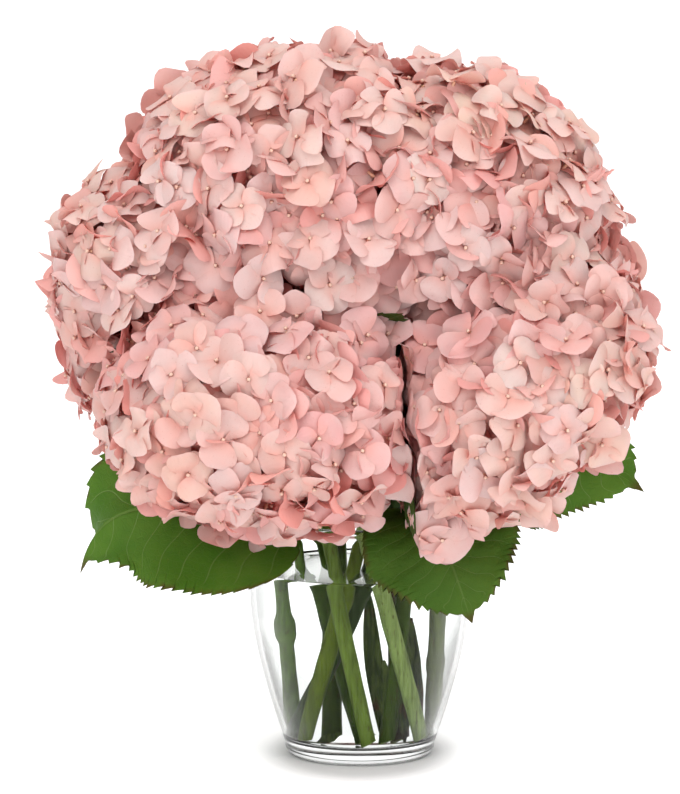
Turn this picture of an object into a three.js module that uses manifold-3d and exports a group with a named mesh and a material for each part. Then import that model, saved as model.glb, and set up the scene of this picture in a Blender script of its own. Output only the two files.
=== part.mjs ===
// A round bunch of ten pale pink hydrangea heads on cut stems, standing in water in a
// clear glass vase, with serrated leaves hanging out under the flowers.
// Millimetres, +Z up, the front faces -Y. The origin is the centre of the vase's underside.
import * as THREE from "three";
import { ConvexHull } from "three/addons/math/ConvexHull.js";
import { mergeVertices } from "three/addons/utils/BufferGeometryUtils.js";
import Module from "manifold-3d";

const wasm = await Module();
wasm.setup();

// Vase and water
const VASE_HEIGHT = 121;
const VASE_FOOT_RADIUS = 33;
const VASE_FOOT_CORNER = 4.5;
const VASE_BELLY_RADIUS = 55;
const VASE_BELLY_HEIGHT = 80;
const VASE_TAPER = 0.0218;
const VASE_TAPER_POWER = 1.553;
const VASE_NECKING = 0.0012;
const VASE_WALL = 3;
const VASE_FLOOR = 8;
const INNER_CORNER = 4;
const LOWEST_RING = 14;
const HIGHEST_RING = 98;
const LIP_RADIUS = 2.2;
const ROUND_SEGMENTS = 28;
const WATER_LEVEL = 93;
// Room left between touching pieces
const GAP = 0.3;

// Stems
const STEM_RADIUS = 4.6;
const STEM_SIDES = 8;
const STEM_ROOM_SIDES = 6;
const STEM_STEPS = 8;
const STEM_FOOT_HEIGHT = 9.6;
const STEM_NECK_HEIGHT = 120;
const STEM_NODE_SWELLING = 1.16;
// Where a stem's top ends, as a share of its head's smallest half size from the head's middle
const STEM_TOP_SHARE = 0.42;
const ELBOW_SHARE = 0.3;

// Flower heads: where each one sits, its half sizes and its roll about the viewing line, and where its
// stem stands on the vase floor and leaves the vase
const HEADS = {
  front_left: { centre: [-47, -76, 180], radii: [79, 68, 58], roll: 4, foot: [4, -27], neck: [-17, -22] },
  front_right: { centre: [72, -62, 186], radii: [77, 66, 51], roll: -40, foot: [-26, 4], neck: [14, -6] },
  top_left: { centre: [-34, -34, 287], radii: [82, 74, 74], roll: 0, foot: [26, -9], neck: [1, -20] },
  top_right: { centre: [57, -31, 280], radii: [67, 65, 60], roll: 32, foot: [-24, -12], neck: [3, -9] },
  left_upper: { centre: [-99, -28, 252], radii: [54, 62, 48], roll: 0, foot: [2, 18], neck: [-22, 6] },
  left_lower: { centre: [-104, 4, 211], radii: [50, 54, 47], roll: 0, foot: [-20, 18], neck: [-33, 0] },
  back_right: { centre: [78, 57, 222], radii: [65, 67, 64], roll: 0, foot: [24, 12], neck: [30, 9] },
  back_top: { centre: [14, 54, 278], radii: [72, 67, 64], roll: 0, foot: [10, -4], neck: [20, 3] },
  back_left: { centre: [-72, 61, 222], radii: [67, 65, 63], roll: 0, foot: [-8, 26], neck: [-10, 24] },
  back_low: { centre: [6, 75, 174], radii: [64, 57, 51], roll: 0, foot: [13, 14], neck: [12, 16] },
};
// Stems that bend at a place of their own, to pass another head
const ELBOWS = { back_top: [21, 8, 205], back_left: [-40, 32, 150] };
// Which ring of a stem swells into a joint
const JOINT_STEPS = { left_lower: 2, front_left: 0, top_left: 3, back_top: 2, back_right: 2, top_right: 1 };
// Power of the round head shape: 2 is an ellipsoid, and more is fuller between the axes
const HEAD_FULLNESS = 2.2;
const NEIGHBOUR_REACH = 12;
const HEAD_CLEARANCE = 0.8;
const HEAD_FLOOR = VASE_HEIGHT + 3;

// Florets: four broad petals round a small dimple, with a deep valley between one floret and the next
const FLORET_COUNT = 33;
const HEAD_SEED = 11;
const FLORET_JITTER = 0.07;
const FLORET_STEP = 4;
const FLORET_TILT = 0.5;
const PETALS = 4;
const PETAL_HALF_ANGLE = 0.52;
const PETAL_EDGE_SHARE = 0.86;
const PETAL_OVERHANG = 1.2;
const NOTCH_SHARE = 0.5;
const NOTCH_DEPTH = 4;
const DIMPLE_DEPTH = 3;
const VALLEY_DEPTH = 10;
// Florets and valleys past a dividing plane by more than this are hidden, and left plain
const HIDDEN_FLORET_MARGIN = -3;
const HIDDEN_VALLEY_MARGIN = -10;

// Leaves that hang out under the heads: the stem each grows from and how high, the run of its midrib, its
// half width, and the way each half of the blade spreads from the midrib at the base and at the tip
const LEAVES = {
  left: {
    stem: "front_left",
    height: 119,
    midrib: [[-34, -47, 127.5], [-68.4, -58.8, 130.2], [-109.5, -62.2, 132.8], [-136.5, -56, 100.3]],
    width: 48,
    halves: [[[0, 0.95, 0.3], [0.37, 0.01, 0.62]], [[0.05, -0.76, -0.63], [0.24, -0.5, -0.8]]],
  },
  front_right: {
    stem: "front_right",
    height: 116,
    midrib: [[27, -35, 128.5], [37, -58, 122], [46, -71, 102], [54, -74, 79]],
    width: 38,
    halves: [[[-1, 0.1, 0.05], [-1, 0.2, 0.1]], [[1, 0.1, 0.05], [1, 0.2, 0.1]]],
  },
  right: {
    stem: "back_right",
    height: 119,
    midrib: [[46, 7, 131], [80, 4, 150], [112, 0, 148], [141, -8, 133]],
    width: 36,
    halves: [[[0, 0.1, 1], [0, 0.1, 1]], [[0, -0.15, -1], [0, -0.15, -1]]],
  },
  back_left: {
    stem: "back_left",
    height: 113.8,
    midrib: [[-32, 47, 130.5], [-55, 68, 124], [-82, 82, 112], [-108, 92, 92]],
    width: 42,
    halves: [[[0.62, 0.76, 0.1], [0.62, 0.76, -0.2]], [[-0.62, -0.76, 0.2], [-0.62, -0.76, -0.2]]],
  },
  back_right: {
    stem: "back_low",
    height: 116,
    midrib: [[34, 43, 128], [54, 62, 127], [76, 80, 123], [93, 95, 115]],
    width: 38,
    halves: [[[-0.7, 0.7, 0], [-0.7, 0.7, -0.2]], [[0.7, -0.7, 0.1], [0.7, -0.7, -0.2]]],
  },
};
// Small leaves caught flat between two heads: the heads, and the run from base to tip
const CAUGHT_LEAVES = {
  left_crevice: { between: ["front_left", "left_upper"], from: [-70, -30, 220], to: [-128, -72, 222], width: 17 },
  centre_crevice: { between: ["front_left", "top_left"], from: [-4, -46, 226], to: [21, -92, 240], width: 12 },
  low_crevice: { between: ["front_left", "front_right"], from: [20, -62, 156], to: [20, -110, 128], width: 15 },
  top_crevice: { between: ["top_left", "top_right"], from: [26, -40, 318], to: [26, -78, 326], width: 9 },
};
const LEAF_THICKNESS = 0.9;
const LEAF_TEETH = 8;
const CAUGHT_LEAF_TEETH = 4;
const TOOTH_DEPTH = 3;
// The room that the heads leave round a leaf: how much wider and thicker it is, and its share of the rows
const LEAF_ROOM_SHARE = 1.13;
const LEAF_ROOM_EXTRA = 3.1;
const LEAF_ROOM_ROWS = 0.875;
const LEAF_END_WIDTH = 1.2;
// A blade's outline as shares of its length and half width: the broad part, then a drawn-out tip
const BLADE_SHARE = 0.93;
const TIP_SHARE = 0.12;
const TIP_WIDTH = 0.13;
const BASE_SHARE = 0.2;
const PETIOLE_RADIUS = 1.8;
const PETIOLE_SIDES = 5;
const PETIOLE_SEAT = 1;
const PETIOLE_RUN = 9;
const PETIOLE_LIFT = 3;
const PETIOLE_STEPS = 4;
const PETIOLE_END = 0.06;

// Side of the block that trims a head, larger than any head
const BLOCK = 400;

const COLOURS = {
  petal: 0xf3cfc9,
  leaf: 0x416b23,
  stem: 0x6f9140,
  glass: 0xe8f0ee,
  water: 0xdfeee8,
};

function randomFrom(seed) {
  let state = seed;
  return () => {
    state = (state + 0x6d2b79f5) | 0;
    let mixed = Math.imul(state ^ (state >>> 15), 1 | state);
    mixed = (mixed + Math.imul(mixed ^ (mixed >>> 7), 61 | mixed)) ^ mixed;
    return ((mixed ^ (mixed >>> 14)) >>> 0) / 4294967296;
  };
}

// Solids: a closed geometry as a solid that can be joined and cut, and back again.
function solidOf(geometry) {
  const bare = geometry.clone();
  bare.deleteAttribute("normal");
  bare.deleteAttribute("uv");
  const merged = mergeVertices(bare, 1e-4);
  return new wasm.Manifold(
    new wasm.Mesh({
      numProp: 3,
      vertProperties: merged.attributes.position.array,
      triVerts: new Uint32Array(merged.index.array),
    }),
  );
}

function geometryOf(solid) {
  const mesh = solid.getMesh();
  return new THREE.BufferGeometry()
    .setAttribute("position", new THREE.BufferAttribute(mesh.vertProperties, 3))
    .setIndex(new THREE.BufferAttribute(mesh.triVerts, 1));
}

function largestBody(solid) {
  return solid.decompose().reduce((best, body) => (body.volume() > best.volume() ? body : best));
}

function indexedGeometry(points, triangles) {
  return new THREE.BufferGeometry()
    .setAttribute("position", new THREE.Float32BufferAttribute(points.flatMap((p) => p.toArray()), 3))
    .setIndex(triangles);
}

function vector(list) {
  return new THREE.Vector3(...list);
}

const object = new THREE.Group();

function addPiece(name, geometry, colour, roughness, opacity = 1) {
  const material = new THREE.MeshStandardMaterial({ color: colour, roughness, metalness: 0 });
  material.opacity = opacity;
  material.transparent = opacity < 1;
  const mesh = new THREE.Mesh(geometry, material);
  mesh.name = name;
  object.add(mesh);
}

// Vase: a thick-based tumbler that widens to its belly and ends in a rounded lip
function vaseRadius(height) {
  const below = VASE_BELLY_HEIGHT - height;
  if (below > 0) return VASE_BELLY_RADIUS - VASE_TAPER * below ** VASE_TAPER_POWER;
  return VASE_BELLY_RADIUS - VASE_NECKING * below ** 2;
}

function roundBody(profile) {
  return new THREE.LatheGeometry(profile, ROUND_SEGMENTS).rotateX(Math.PI / 2);
}

function heightsBetween(low, high, count) {
  return Array.from({ length: count }, (_, i) => low + ((high - low) * i) / (count - 1));
}

function innerWall(low, high, count, shrink) {
  return heightsBetween(low, high, count).map(
    (height) => new THREE.Vector2(vaseRadius(height) - VASE_WALL - shrink, height),
  );
}

function vaseGeometry() {
  const corner = heightsBetween(-Math.PI / 2, 0, 4).map(
    (angle) =>
      new THREE.Vector2(
        VASE_FOOT_RADIUS + VASE_FOOT_CORNER * Math.cos(angle),
        VASE_FOOT_CORNER * (1 + Math.sin(angle)),
      ),
  );
  const lipHeight = VASE_HEIGHT - LIP_RADIUS;
  const outside = heightsBetween(LOWEST_RING, HIGHEST_RING, 5).map(
    (height) => new THREE.Vector2(vaseRadius(height), height),
  );
  const lipCentre = vaseRadius(lipHeight) - VASE_WALL / 2;
  const lip = heightsBetween(0, Math.PI, 5).map(
    (angle) => new THREE.Vector2(lipCentre + LIP_RADIUS * Math.cos(angle), lipHeight + LIP_RADIUS * Math.sin(angle)),
  );
  const inside = innerWall(VASE_FLOOR + INNER_CORNER, lipHeight - LIP_RADIUS, 5, 0).reverse();
  const floorEdge = new THREE.Vector2(inside.at(-1).x - INNER_CORNER, VASE_FLOOR);
  const underside = new THREE.Vector2(0, 0);
  const floor = new THREE.Vector2(0, VASE_FLOOR);
  return roundBody([underside, ...corner, ...outside, ...lip, ...inside, floorEdge, floor]);
}

function waterGeometry() {
  const side = innerWall(VASE_FLOOR + INNER_CORNER, WATER_LEVEL, 4, GAP);
  const bottom = VASE_FLOOR + GAP;
  const bottomEdge = new THREE.Vector2(side[0].x - INNER_CORNER, bottom);
  return roundBody([new THREE.Vector2(0, bottom), bottomEdge, ...side, new THREE.Vector2(0, WATER_LEVEL)]);
}

// Stems: straight in the vase, then bent to the head they carry, with one swollen joint
function stemPath(name) {
  const head = HEADS[name];
  const foot = vector([...head.foot, STEM_FOOT_HEIGHT]);
  const neck = vector([...head.neck, STEM_NECK_HEIGHT]);
  const centre = vector(head.centre);
  const reach = neck.distanceTo(centre);
  const along = neck.clone().sub(foot).normalize();
  const elbow = ELBOWS[name] ? vector(ELBOWS[name]) : neck.clone().addScaledVector(along, reach * ELBOW_SHARE);
  const arrival = elbow.clone().sub(centre).normalize();
  const top = centre.addScaledVector(arrival, STEM_TOP_SHARE * Math.min(...head.radii));
  const path = new THREE.CurvePath();
  path.add(new THREE.LineCurve3(foot, neck));
  path.add(new THREE.QuadraticBezierCurve3(neck, elbow, top));
  return path;
}

function roundSection(sides) {
  const corners = Array.from({ length: sides }, (_, i) => {
    const angle = (2 * Math.PI * i) / sides;
    return new THREE.Vector2(Math.cos(angle), Math.sin(angle));
  });
  return new THREE.Shape(corners);
}

function stemGeometry(name, extra = 0) {
  const radiusAt = (step) => STEM_RADIUS * (step === JOINT_STEPS[name] ? STEM_NODE_SWELLING : 1) + extra;
  return tubeGeometry(stemPath(name), STEM_SIDES, STEM_STEPS, radiusAt);
}

// The room that the heads leave round a stem, with fewer sides than the stem itself
function stemRoomGeometry(name) {
  const radius = (STEM_RADIUS + GAP) / Math.cos(Math.PI / STEM_ROOM_SIDES);
  return tubeGeometry(stemPath(name), STEM_ROOM_SIDES, STEM_STEPS, () => radius);
}

// The section has a radius of 1, so each of its points is moved out to the radius wanted at its step.
function tubeGeometry(path, sides, steps, radiusAt) {
  const tube = new THREE.ExtrudeGeometry(roundSection(sides), { extrudePath: path, steps });
  const centres = path.getSpacedPoints(steps);
  const position = tube.attributes.position;
  const point = new THREE.Vector3();
  for (let i = 0; i < position.count; i++) {
    point.fromBufferAttribute(position, i);
    const distances = centres.map((centre) => centre.distanceTo(point));
    const nearest = distances.indexOf(Math.min(...distances));
    const centre = centres[nearest];
    point.sub(centre).multiplyScalar(radiusAt(nearest)).add(centre);
    position.setXYZ(i, point.x, point.y, point.z);
  }
  return tube;
}

// Leaves: an ovate blade with toothed edges, folded along its midrib, on a thin stalk
function bladeWidth(along) {
  const body = Math.sin(Math.PI * Math.min(along / BLADE_SHARE, 1) ** 0.75) ** 0.62;
  const tip = TIP_WIDTH * Math.min((1 - along) / TIP_SHARE, 1) * Math.min(along / BASE_SHARE, 1);
  return Math.max(body, tip);
}

function bladeGeometry(midrib, halves, width, teeth, thickness, toothDepth = TOOTH_DEPTH) {
  const rows = 2 * teeth + 1;
  const points = [];
  for (const side of [0.5, -0.5]) {
    for (let row = 0; row < rows; row++) {
      const along = row / (rows - 1);
      const tooth = row % 2 ? toothDepth : 0;
      const reach = Math.max(LEAF_END_WIDTH, (width + tooth) * bladeWidth(along));
      const middle = midrib.getPointAt(along);
      const run = midrib.getTangentAt(along);
      const spreads = halves.map(([base, tip]) => {
        const spread = vector(base).lerp(vector(tip), along);
        return spread.addScaledVector(run, -spread.dot(run)).normalize();
      });
      const across = spreads[1].clone().sub(spreads[0]).normalize();
      const lift = across.cross(run).normalize().multiplyScalar(side * thickness);
      points.push(middle.clone().addScaledVector(spreads[0], reach).addScaledVector(run, tooth).add(lift));
      points.push(middle.clone().add(lift));
      points.push(middle.clone().addScaledVector(spreads[1], reach).addScaledVector(run, tooth).add(lift));
    }
  }
  const triangles = [];
  const at = (face, row, column) => (face * rows + row) * 3 + column;
  const quad = (a, b, c, d) => triangles.push(a, b, c, a, c, d);
  for (let row = 0; row < rows - 1; row++) {
    for (let column = 0; column < 2; column++) {
      const corners = [[row, column], [row, column + 1], [row + 1, column + 1], [row + 1, column]];
      if (column) corners.push(corners.shift());
      quad(...corners.map(([r, c]) => at(0, r, c)));
      const [a, b, c, d] = corners.map(([r, k]) => at(1, r, k));
      triangles.push(a, c, b, a, d, c);
    }
    quad(at(0, row, 2), at(1, row, 2), at(1, row + 1, 2), at(0, row + 1, 2));
    quad(at(0, row + 1, 0), at(1, row + 1, 0), at(1, row, 0), at(0, row, 0));
  }
  for (let column = 0; column < 2; column++) {
    const last = rows - 1;
    quad(at(0, 0, column + 1), at(0, 0, column), at(1, 0, column), at(1, 0, column + 1));
    quad(at(0, last, column), at(0, last, column + 1), at(1, last, column + 1), at(1, last, column));
  }
  return indexedGeometry(points, triangles);
}

function petioleGeometry(stemName, height, end, extra) {
  const path = stemPath(stemName);
  const { v1: foot, v2: neck } = path.curves[0];
  const root = foot.clone().lerp(neck, (height - foot.z) / (neck.z - foot.z));
  const rise = neck.clone().sub(foot).normalize();
  const outward = end.clone().sub(root);
  outward.addScaledVector(rise, -outward.dot(rise)).normalize();
  const start = root.addScaledVector(outward, STEM_RADIUS + PETIOLE_SEAT - extra);
  const bend = start.clone().addScaledVector(outward, PETIOLE_RUN).add(new THREE.Vector3(0, 0, PETIOLE_LIFT));
  const stalk = new THREE.QuadraticBezierCurve3(start, bend, end);
  return tubeGeometry(stalk, PETIOLE_SIDES, PETIOLE_STEPS, () => PETIOLE_RADIUS + extra);
}

// A blade, or the plainer and slightly larger room that the heads leave round it
function bladeOrRoom(midrib, halves, width, teeth, isRoom) {
  if (!isRoom) return bladeGeometry(midrib, halves, width, teeth, LEAF_THICKNESS);
  const reach = (width + TOOTH_DEPTH) * LEAF_ROOM_SHARE + GAP;
  return bladeGeometry(midrib, halves, reach, teeth * LEAF_ROOM_ROWS, LEAF_THICKNESS + LEAF_ROOM_EXTRA, 0);
}

function leafSolid(leaf, isRoom = false) {
  const midrib = new THREE.CatmullRomCurve3(leaf.midrib.map(vector));
  const blade = bladeOrRoom(midrib, leaf.halves, leaf.width, LEAF_TEETH, isRoom);
  const end = midrib.getPointAt(PETIOLE_END);
  return solidOf(blade).add(solidOf(petioleGeometry(leaf.stem, leaf.height, end, isRoom ? GAP : 0)));
}

function caughtLeafSolid(leaf, isRoom = false) {
  const plane = dividingPlane(HEADS[leaf.between[0]], HEADS[leaf.between[1]]);
  const [base, tip] = [leaf.from, leaf.to].map((place) => {
    const point = vector(place);
    return point.addScaledVector(plane.normal, plane.point.clone().sub(point).dot(plane.normal));
  });
  const across = plane.normal.clone().cross(tip.clone().sub(base)).normalize();
  const back = across.clone().negate().toArray();
  const halves = [[across.toArray(), across.toArray()], [back, back]];
  return solidOf(bladeOrRoom(new THREE.LineCurve3(base, tip), halves, leaf.width, CAUGHT_LEAF_TEETH, isRoom));
}

// The plane in which two neighbouring heads meet, as a point on it and the way it faces
function dividingPlane(head, other) {
  const from = vector(head.centre);
  const to = vector(other.centre);
  const normal = to.clone().sub(from).normalize();
  const own = reachAlong(head, normal);
  const theirs = reachAlong(other, normal);
  const distance = from.distanceTo(to);
  const away = (distance ** 2 + own ** 2 - theirs ** 2) / (2 * distance);
  return { point: from.clone().addScaledVector(normal, away), normal, apart: distance - own - theirs };
}

function headRoll(head) {
  return new THREE.Quaternion().setFromAxisAngle(new THREE.Vector3(0, 1, 0), THREE.MathUtils.degToRad(head.roll));
}

function reachAlong(head, direction) {
  const turned = direction.clone().applyQuaternion(headRoll(head).invert());
  return turned.multiply(vector(head.radii)).length();
}

function neighbourPlanes(name) {
  return Object.keys(HEADS)
    .filter((other) => other !== name)
    .map((other) => dividingPlane(HEADS[name], HEADS[other]))
    .filter((plane) => plane.apart < NEIGHBOUR_REACH);
}

// Everything past a plane, as a block to cut away
function blockBeyond(plane, clearance) {
  const turn = new THREE.Quaternion().setFromUnitVectors(new THREE.Vector3(0, 0, 1), plane.normal);
  const block = new THREE.BoxGeometry(BLOCK, BLOCK, BLOCK).translate(0, 0, BLOCK / 2 - clearance);
  return solidOf(block.applyQuaternion(turn).translate(...plane.point.toArray()));
}

function spiralDirection(index, random) {
  const height = 1 - (2 * index + 1) / FLORET_COUNT;
  const turn = index * Math.PI * (3 - Math.sqrt(5));
  const across = Math.sqrt(1 - height * height);
  const direction = new THREE.Vector3(Math.cos(turn) * across, Math.sin(turn) * across, height);
  const shift = new THREE.Vector3(random() - 0.5, random() - 0.5, random() - 0.5);
  return direction.addScaledVector(shift, 2 * FLORET_JITTER).normalize();
}

// The triangles that join a set of directions into one closed surface round the origin
function trianglesAround(directions) {
  const order = new Map(directions.map((direction, i) => [direction, i]));
  return new ConvexHull().setFromPoints(directions).faces.map((face) => {
    const corners = [face.edge, face.edge.next, face.edge.prev];
    return corners.map((edge) => order.get(edge.head().point));
  });
}

// Valleys run half way between neighbouring florets, and meet where three florets do.
function valleyDirections(middles) {
  const valleys = [];
  for (const corners of trianglesAround(middles)) {
    const [a, b, c] = corners.map((i) => middles[i]);
    const meeting = b.clone().sub(a).cross(c.clone().sub(a)).normalize();
    valleys.push(meeting);
    corners.forEach((corner, i) => {
      const next = corners[(i + 1) % 3];
      if (corner < next) valleys.push(middles[corner].clone().add(middles[next]).normalize());
    });
  }
  return valleys;
}

// How far a petal may reach from its floret's middle before it meets the valley, as an angle
function roomTowards(middle, across, others) {
  let room = Math.PI;
  for (const other of others) {
    const apart = middle.angleTo(other);
    if (apart < 1e-6 || apart > 1.4) continue;
    const side = other.clone().addScaledVector(middle, -other.dot(middle)).normalize().dot(across);
    if (side > 0.05) room = Math.min(room, Math.atan(Math.tan(apart / 2) / side));
  }
  return room;
}

// The place on a head's full round shape in a direction: fuller than an ellipsoid between its axes
function surfacePlace(head, direction) {
  const parts = direction.toArray().map((part) => Math.abs(part) ** HEAD_FULLNESS);
  const swelling = (parts[0] + parts[1] + parts[2]) ** (-1 / HEAD_FULLNESS);
  return direction.clone().multiplyScalar(swelling).multiply(vector(head.radii));
}

// How far a place on a head's round surface lies inside the nearest dividing plane
function insidePlanes(head, direction, planes) {
  const place = surfacePlace(head, direction).applyQuaternion(headRoll(head));
  place.add(vector(head.centre));
  return Math.min(...planes.map((plane) => plane.point.clone().sub(place).dot(plane.normal)));
}

// A head's surface: petals and valleys where it shows, and plain facets where another head hides it
function headGeometry(head, planes, random) {
  const radii = vector(head.radii);
  const roll = headRoll(head);
  const middles = Array.from({ length: FLORET_COUNT }, (_, i) => spiralDirection(i, random));
  const typical = Math.sqrt(Math.PI / FLORET_COUNT) * 2;
  const directions = [];
  const points = [];
  const add = (direction, height, towards = null, overhang = 0) => {
    const outward = direction.clone().divide(radii).normalize();
    const point = surfacePlace(head, direction).addScaledVector(outward, height);
    if (towards) point.addScaledVector(towards, overhang);
    directions.push(direction);
    points.push(point.applyQuaternion(roll).add(vector(head.centre)));
  };
  for (const middle of middles) {
    if (insidePlanes(head, middle, planes) < HIDDEN_FLORET_MARGIN) {
      add(middle, 0);
      continue;
    }
    const step = (random() - 0.5) * FLORET_STEP;
    const sideways = new THREE.Vector3(0.3, 0.2, 1).cross(middle).normalize();
    const upwards = middle.clone().cross(sideways);
    const spin = random() * Math.PI;
    const lean = random() * 2 * Math.PI;
    const size = 0.95 + 0.15 * random();
    const place = (angle, share, height, overhang = 0) => {
      const across = sideways.clone().multiplyScalar(Math.cos(angle)).addScaledVector(upwards, Math.sin(angle));
      const room = roomTowards(middle, across, middles) * PETAL_EDGE_SHARE;
      const reach = Math.min(room, 0.5 * typical * size) * share;
      const direction = middle.clone().multiplyScalar(Math.cos(reach)).addScaledVector(across, Math.sin(reach));
      const tilt = FLORET_TILT * share * FLORET_STEP * Math.cos(angle - lean);
      add(direction, step + tilt + height, across, overhang);
    };
    place(0, 0, -DIMPLE_DEPTH);
    for (let petal = 0; petal < PETALS; petal++) {
      const angle = spin + (2 * Math.PI * petal) / PETALS;
      place(angle - PETAL_HALF_ANGLE, 1, -1, PETAL_OVERHANG);
      place(angle + PETAL_HALF_ANGLE, 1, -1, PETAL_OVERHANG);
      place(angle + Math.PI / PETALS, NOTCH_SHARE, -NOTCH_DEPTH);
    }
  }
  for (const valley of valleyDirections(middles)) {
    if (insidePlanes(head, valley, planes) > HIDDEN_VALLEY_MARGIN) add(valley, -VALLEY_DEPTH);
  }
  return indexedGeometry(points, trianglesAround(directions).flat());
}

function headSolid(name, seed) {
  const planes = neighbourPlanes(name);
  let solid = solidOf(headGeometry(HEADS[name], planes, randomFrom(seed)));
  for (const plane of planes) solid = solid.subtract(blockBeyond(plane, HEAD_CLEARANCE));
  return solid;
}

const names = Object.keys(HEADS);
// The vase, its mouth and a shallow dome above it, which the heads stay out of
const keepOut = solidOf(
  roundBody([
    new THREE.Vector2(0, VASE_BELLY_HEIGHT),
    new THREE.Vector2(VASE_BELLY_RADIUS + 2, VASE_BELLY_HEIGHT),
    new THREE.Vector2(VASE_BELLY_RADIUS + 2, VASE_HEIGHT),
    new THREE.Vector2(VASE_BELLY_RADIUS + 8, HEAD_FLOOR),
    new THREE.Vector2(VASE_BELLY_RADIUS - 5, HEAD_FLOOR + 6),
    new THREE.Vector2(0, HEAD_FLOOR + 6),
  ]),
);
const waterHoles = names.map((name) => solidOf(stemGeometry(name, GAP)));
const roomsInHeads = [
  ...names.map((name) => solidOf(stemRoomGeometry(name))),
  ...Object.values(LEAVES).map((leaf) => leafSolid(leaf, true)),
  ...Object.values(CAUGHT_LEAVES).map((leaf) => caughtLeafSolid(leaf, true)),
];

addPiece("vase", vaseGeometry(), COLOURS.glass, 0.05, 0.3);
let water = solidOf(waterGeometry());
for (const hole of waterHoles) water = water.subtract(hole);
addPiece("water", geometryOf(water), COLOURS.water, 0.05, 0.3);
for (const name of names) addPiece("stem_" + name, stemGeometry(name), COLOURS.stem, 0.5);
for (const [name, leaf] of Object.entries(LEAVES)) {
  addPiece("leaf_" + name, geometryOf(leafSolid(leaf)), COLOURS.leaf, 0.5);
}
for (const [name, leaf] of Object.entries(CAUGHT_LEAVES)) {
  addPiece("leaf_" + name, geometryOf(caughtLeafSolid(leaf)), COLOURS.leaf, 0.5);
}
names.forEach((name, i) => {
  let head = headSolid(name, HEAD_SEED + i);
  for (const room of roomsInHeads) head = head.subtract(room);
  head = largestBody(head.subtract(keepOut));
  addPiece("head_" + name, geometryOf(head), COLOURS.petal, 0.7);
});

export default object;
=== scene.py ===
"""Hydrangeas in a glass vase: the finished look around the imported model.

Lengths are named in millimetres and put into the meshes in metres.
"""

import math

import bpy
import numpy as np
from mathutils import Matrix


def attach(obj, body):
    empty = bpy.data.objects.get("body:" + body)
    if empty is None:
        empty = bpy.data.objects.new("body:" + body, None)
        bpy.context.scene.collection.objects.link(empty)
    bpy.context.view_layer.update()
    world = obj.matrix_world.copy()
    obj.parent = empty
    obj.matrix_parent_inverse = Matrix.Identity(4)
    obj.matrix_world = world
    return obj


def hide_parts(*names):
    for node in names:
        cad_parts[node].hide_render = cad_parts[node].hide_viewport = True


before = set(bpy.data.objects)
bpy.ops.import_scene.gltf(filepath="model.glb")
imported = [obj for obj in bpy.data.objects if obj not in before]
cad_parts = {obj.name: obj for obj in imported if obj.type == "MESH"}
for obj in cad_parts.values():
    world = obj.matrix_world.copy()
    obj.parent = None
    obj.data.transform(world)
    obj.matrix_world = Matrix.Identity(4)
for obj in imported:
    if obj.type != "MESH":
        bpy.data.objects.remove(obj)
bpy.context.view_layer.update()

MM = 0.001

# ---------------------------------------------------------------- the vase and its water

VASE_HEIGHT = 121
VASE_FOOT_RADIUS = 33
VASE_FOOT_CORNER = 4.5
VASE_BELLY_RADIUS = 55
VASE_BELLY_HEIGHT = 80
VASE_TAPER = 0.0218
VASE_TAPER_POWER = 1.553
VASE_NECKING = 0.0012
VASE_WALL = 3
VASE_FLOOR = 8
INNER_CORNER = 5
LIP_RADIUS = 2.2
PUNT_HEIGHT = 1.2
# The hollow under the foot: radius, and height as a share of PUNT_HEIGHT
PUNT = ((0, 1), (12, 0.9), (22, 0.35), (26, 0), (30, 0))
WALL_START = 12
WALL_STEPS = 44
LIP_MEET = 1.3
WATER_LEVEL = 93
MENISCUS = 1.6
MENISCUS_STEPS = (0.4, 1.2, 2.6, 4.5, 7.0)
MENISCUS_RUN = 1.3
WATER_LIFT = 0.1
WATER_INSET = 0.06
ROUND_SEGMENTS = 144

# ---------------------------------------------------------------- stems and heads

STEM_RADIUS = 4.6
STEM_FOOT_HEIGHT = 9.6
STEM_NECK_HEIGHT = 120
STEM_TOP_SHARE = 0.42
ELBOW_SHARE = 0.3

HEADS = {
    "front_left": dict(centre=(-47, -76, 180), radii=(79, 68, 58), roll=4, foot=(4, -27), neck=(-17, -22)),
    "front_right": dict(centre=(72, -62, 186), radii=(77, 66, 51), roll=-40, foot=(-26, 4), neck=(14, -6)),
    "top_left": dict(centre=(-34, -34, 287), radii=(82, 74, 74), roll=0, foot=(26, -9), neck=(1, -20)),
    "top_right": dict(centre=(57, -31, 280), radii=(67, 65, 60), roll=32, foot=(-24, -12), neck=(3, -9)),
    "left_upper": dict(centre=(-99, -28, 252), radii=(54, 62, 48), roll=0, foot=(2, 18), neck=(-22, 6)),
    "left_lower": dict(centre=(-104, 4, 211), radii=(50, 54, 47), roll=0, foot=(-20, 18), neck=(-33, 0)),
    "back_right": dict(centre=(78, 57, 222), radii=(65, 67, 64), roll=0, foot=(24, 12), neck=(30, 9)),
    "back_top": dict(centre=(14, 54, 278), radii=(72, 67, 64), roll=0, foot=(10, -4), neck=(20, 3)),
    "back_left": dict(centre=(-72, 61, 222), radii=(67, 65, 63), roll=0, foot=(-8, 26), neck=(-10, 24)),
    "back_low": dict(centre=(6, 75, 174), radii=(64, 57, 51), roll=0, foot=(13, 14), neck=(12, 16)),
}
ELBOWS = {"back_top": (21, 8, 205), "back_left": (-40, 32, 150)}
STEM_SIDES = 28
STEM_RIDGES = 0.025
# A stem's radius as a share of STEM_RADIUS, and a joint's half length as a share of the straight run
STEM_GIRTH = 0.75
JOINT_RUN = 0.035
# The oblique cut at the foot: its slope, and the share of the run over which it fades
CUT_SLOPE = 0.55
CUT_RUN = 0.02
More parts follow.
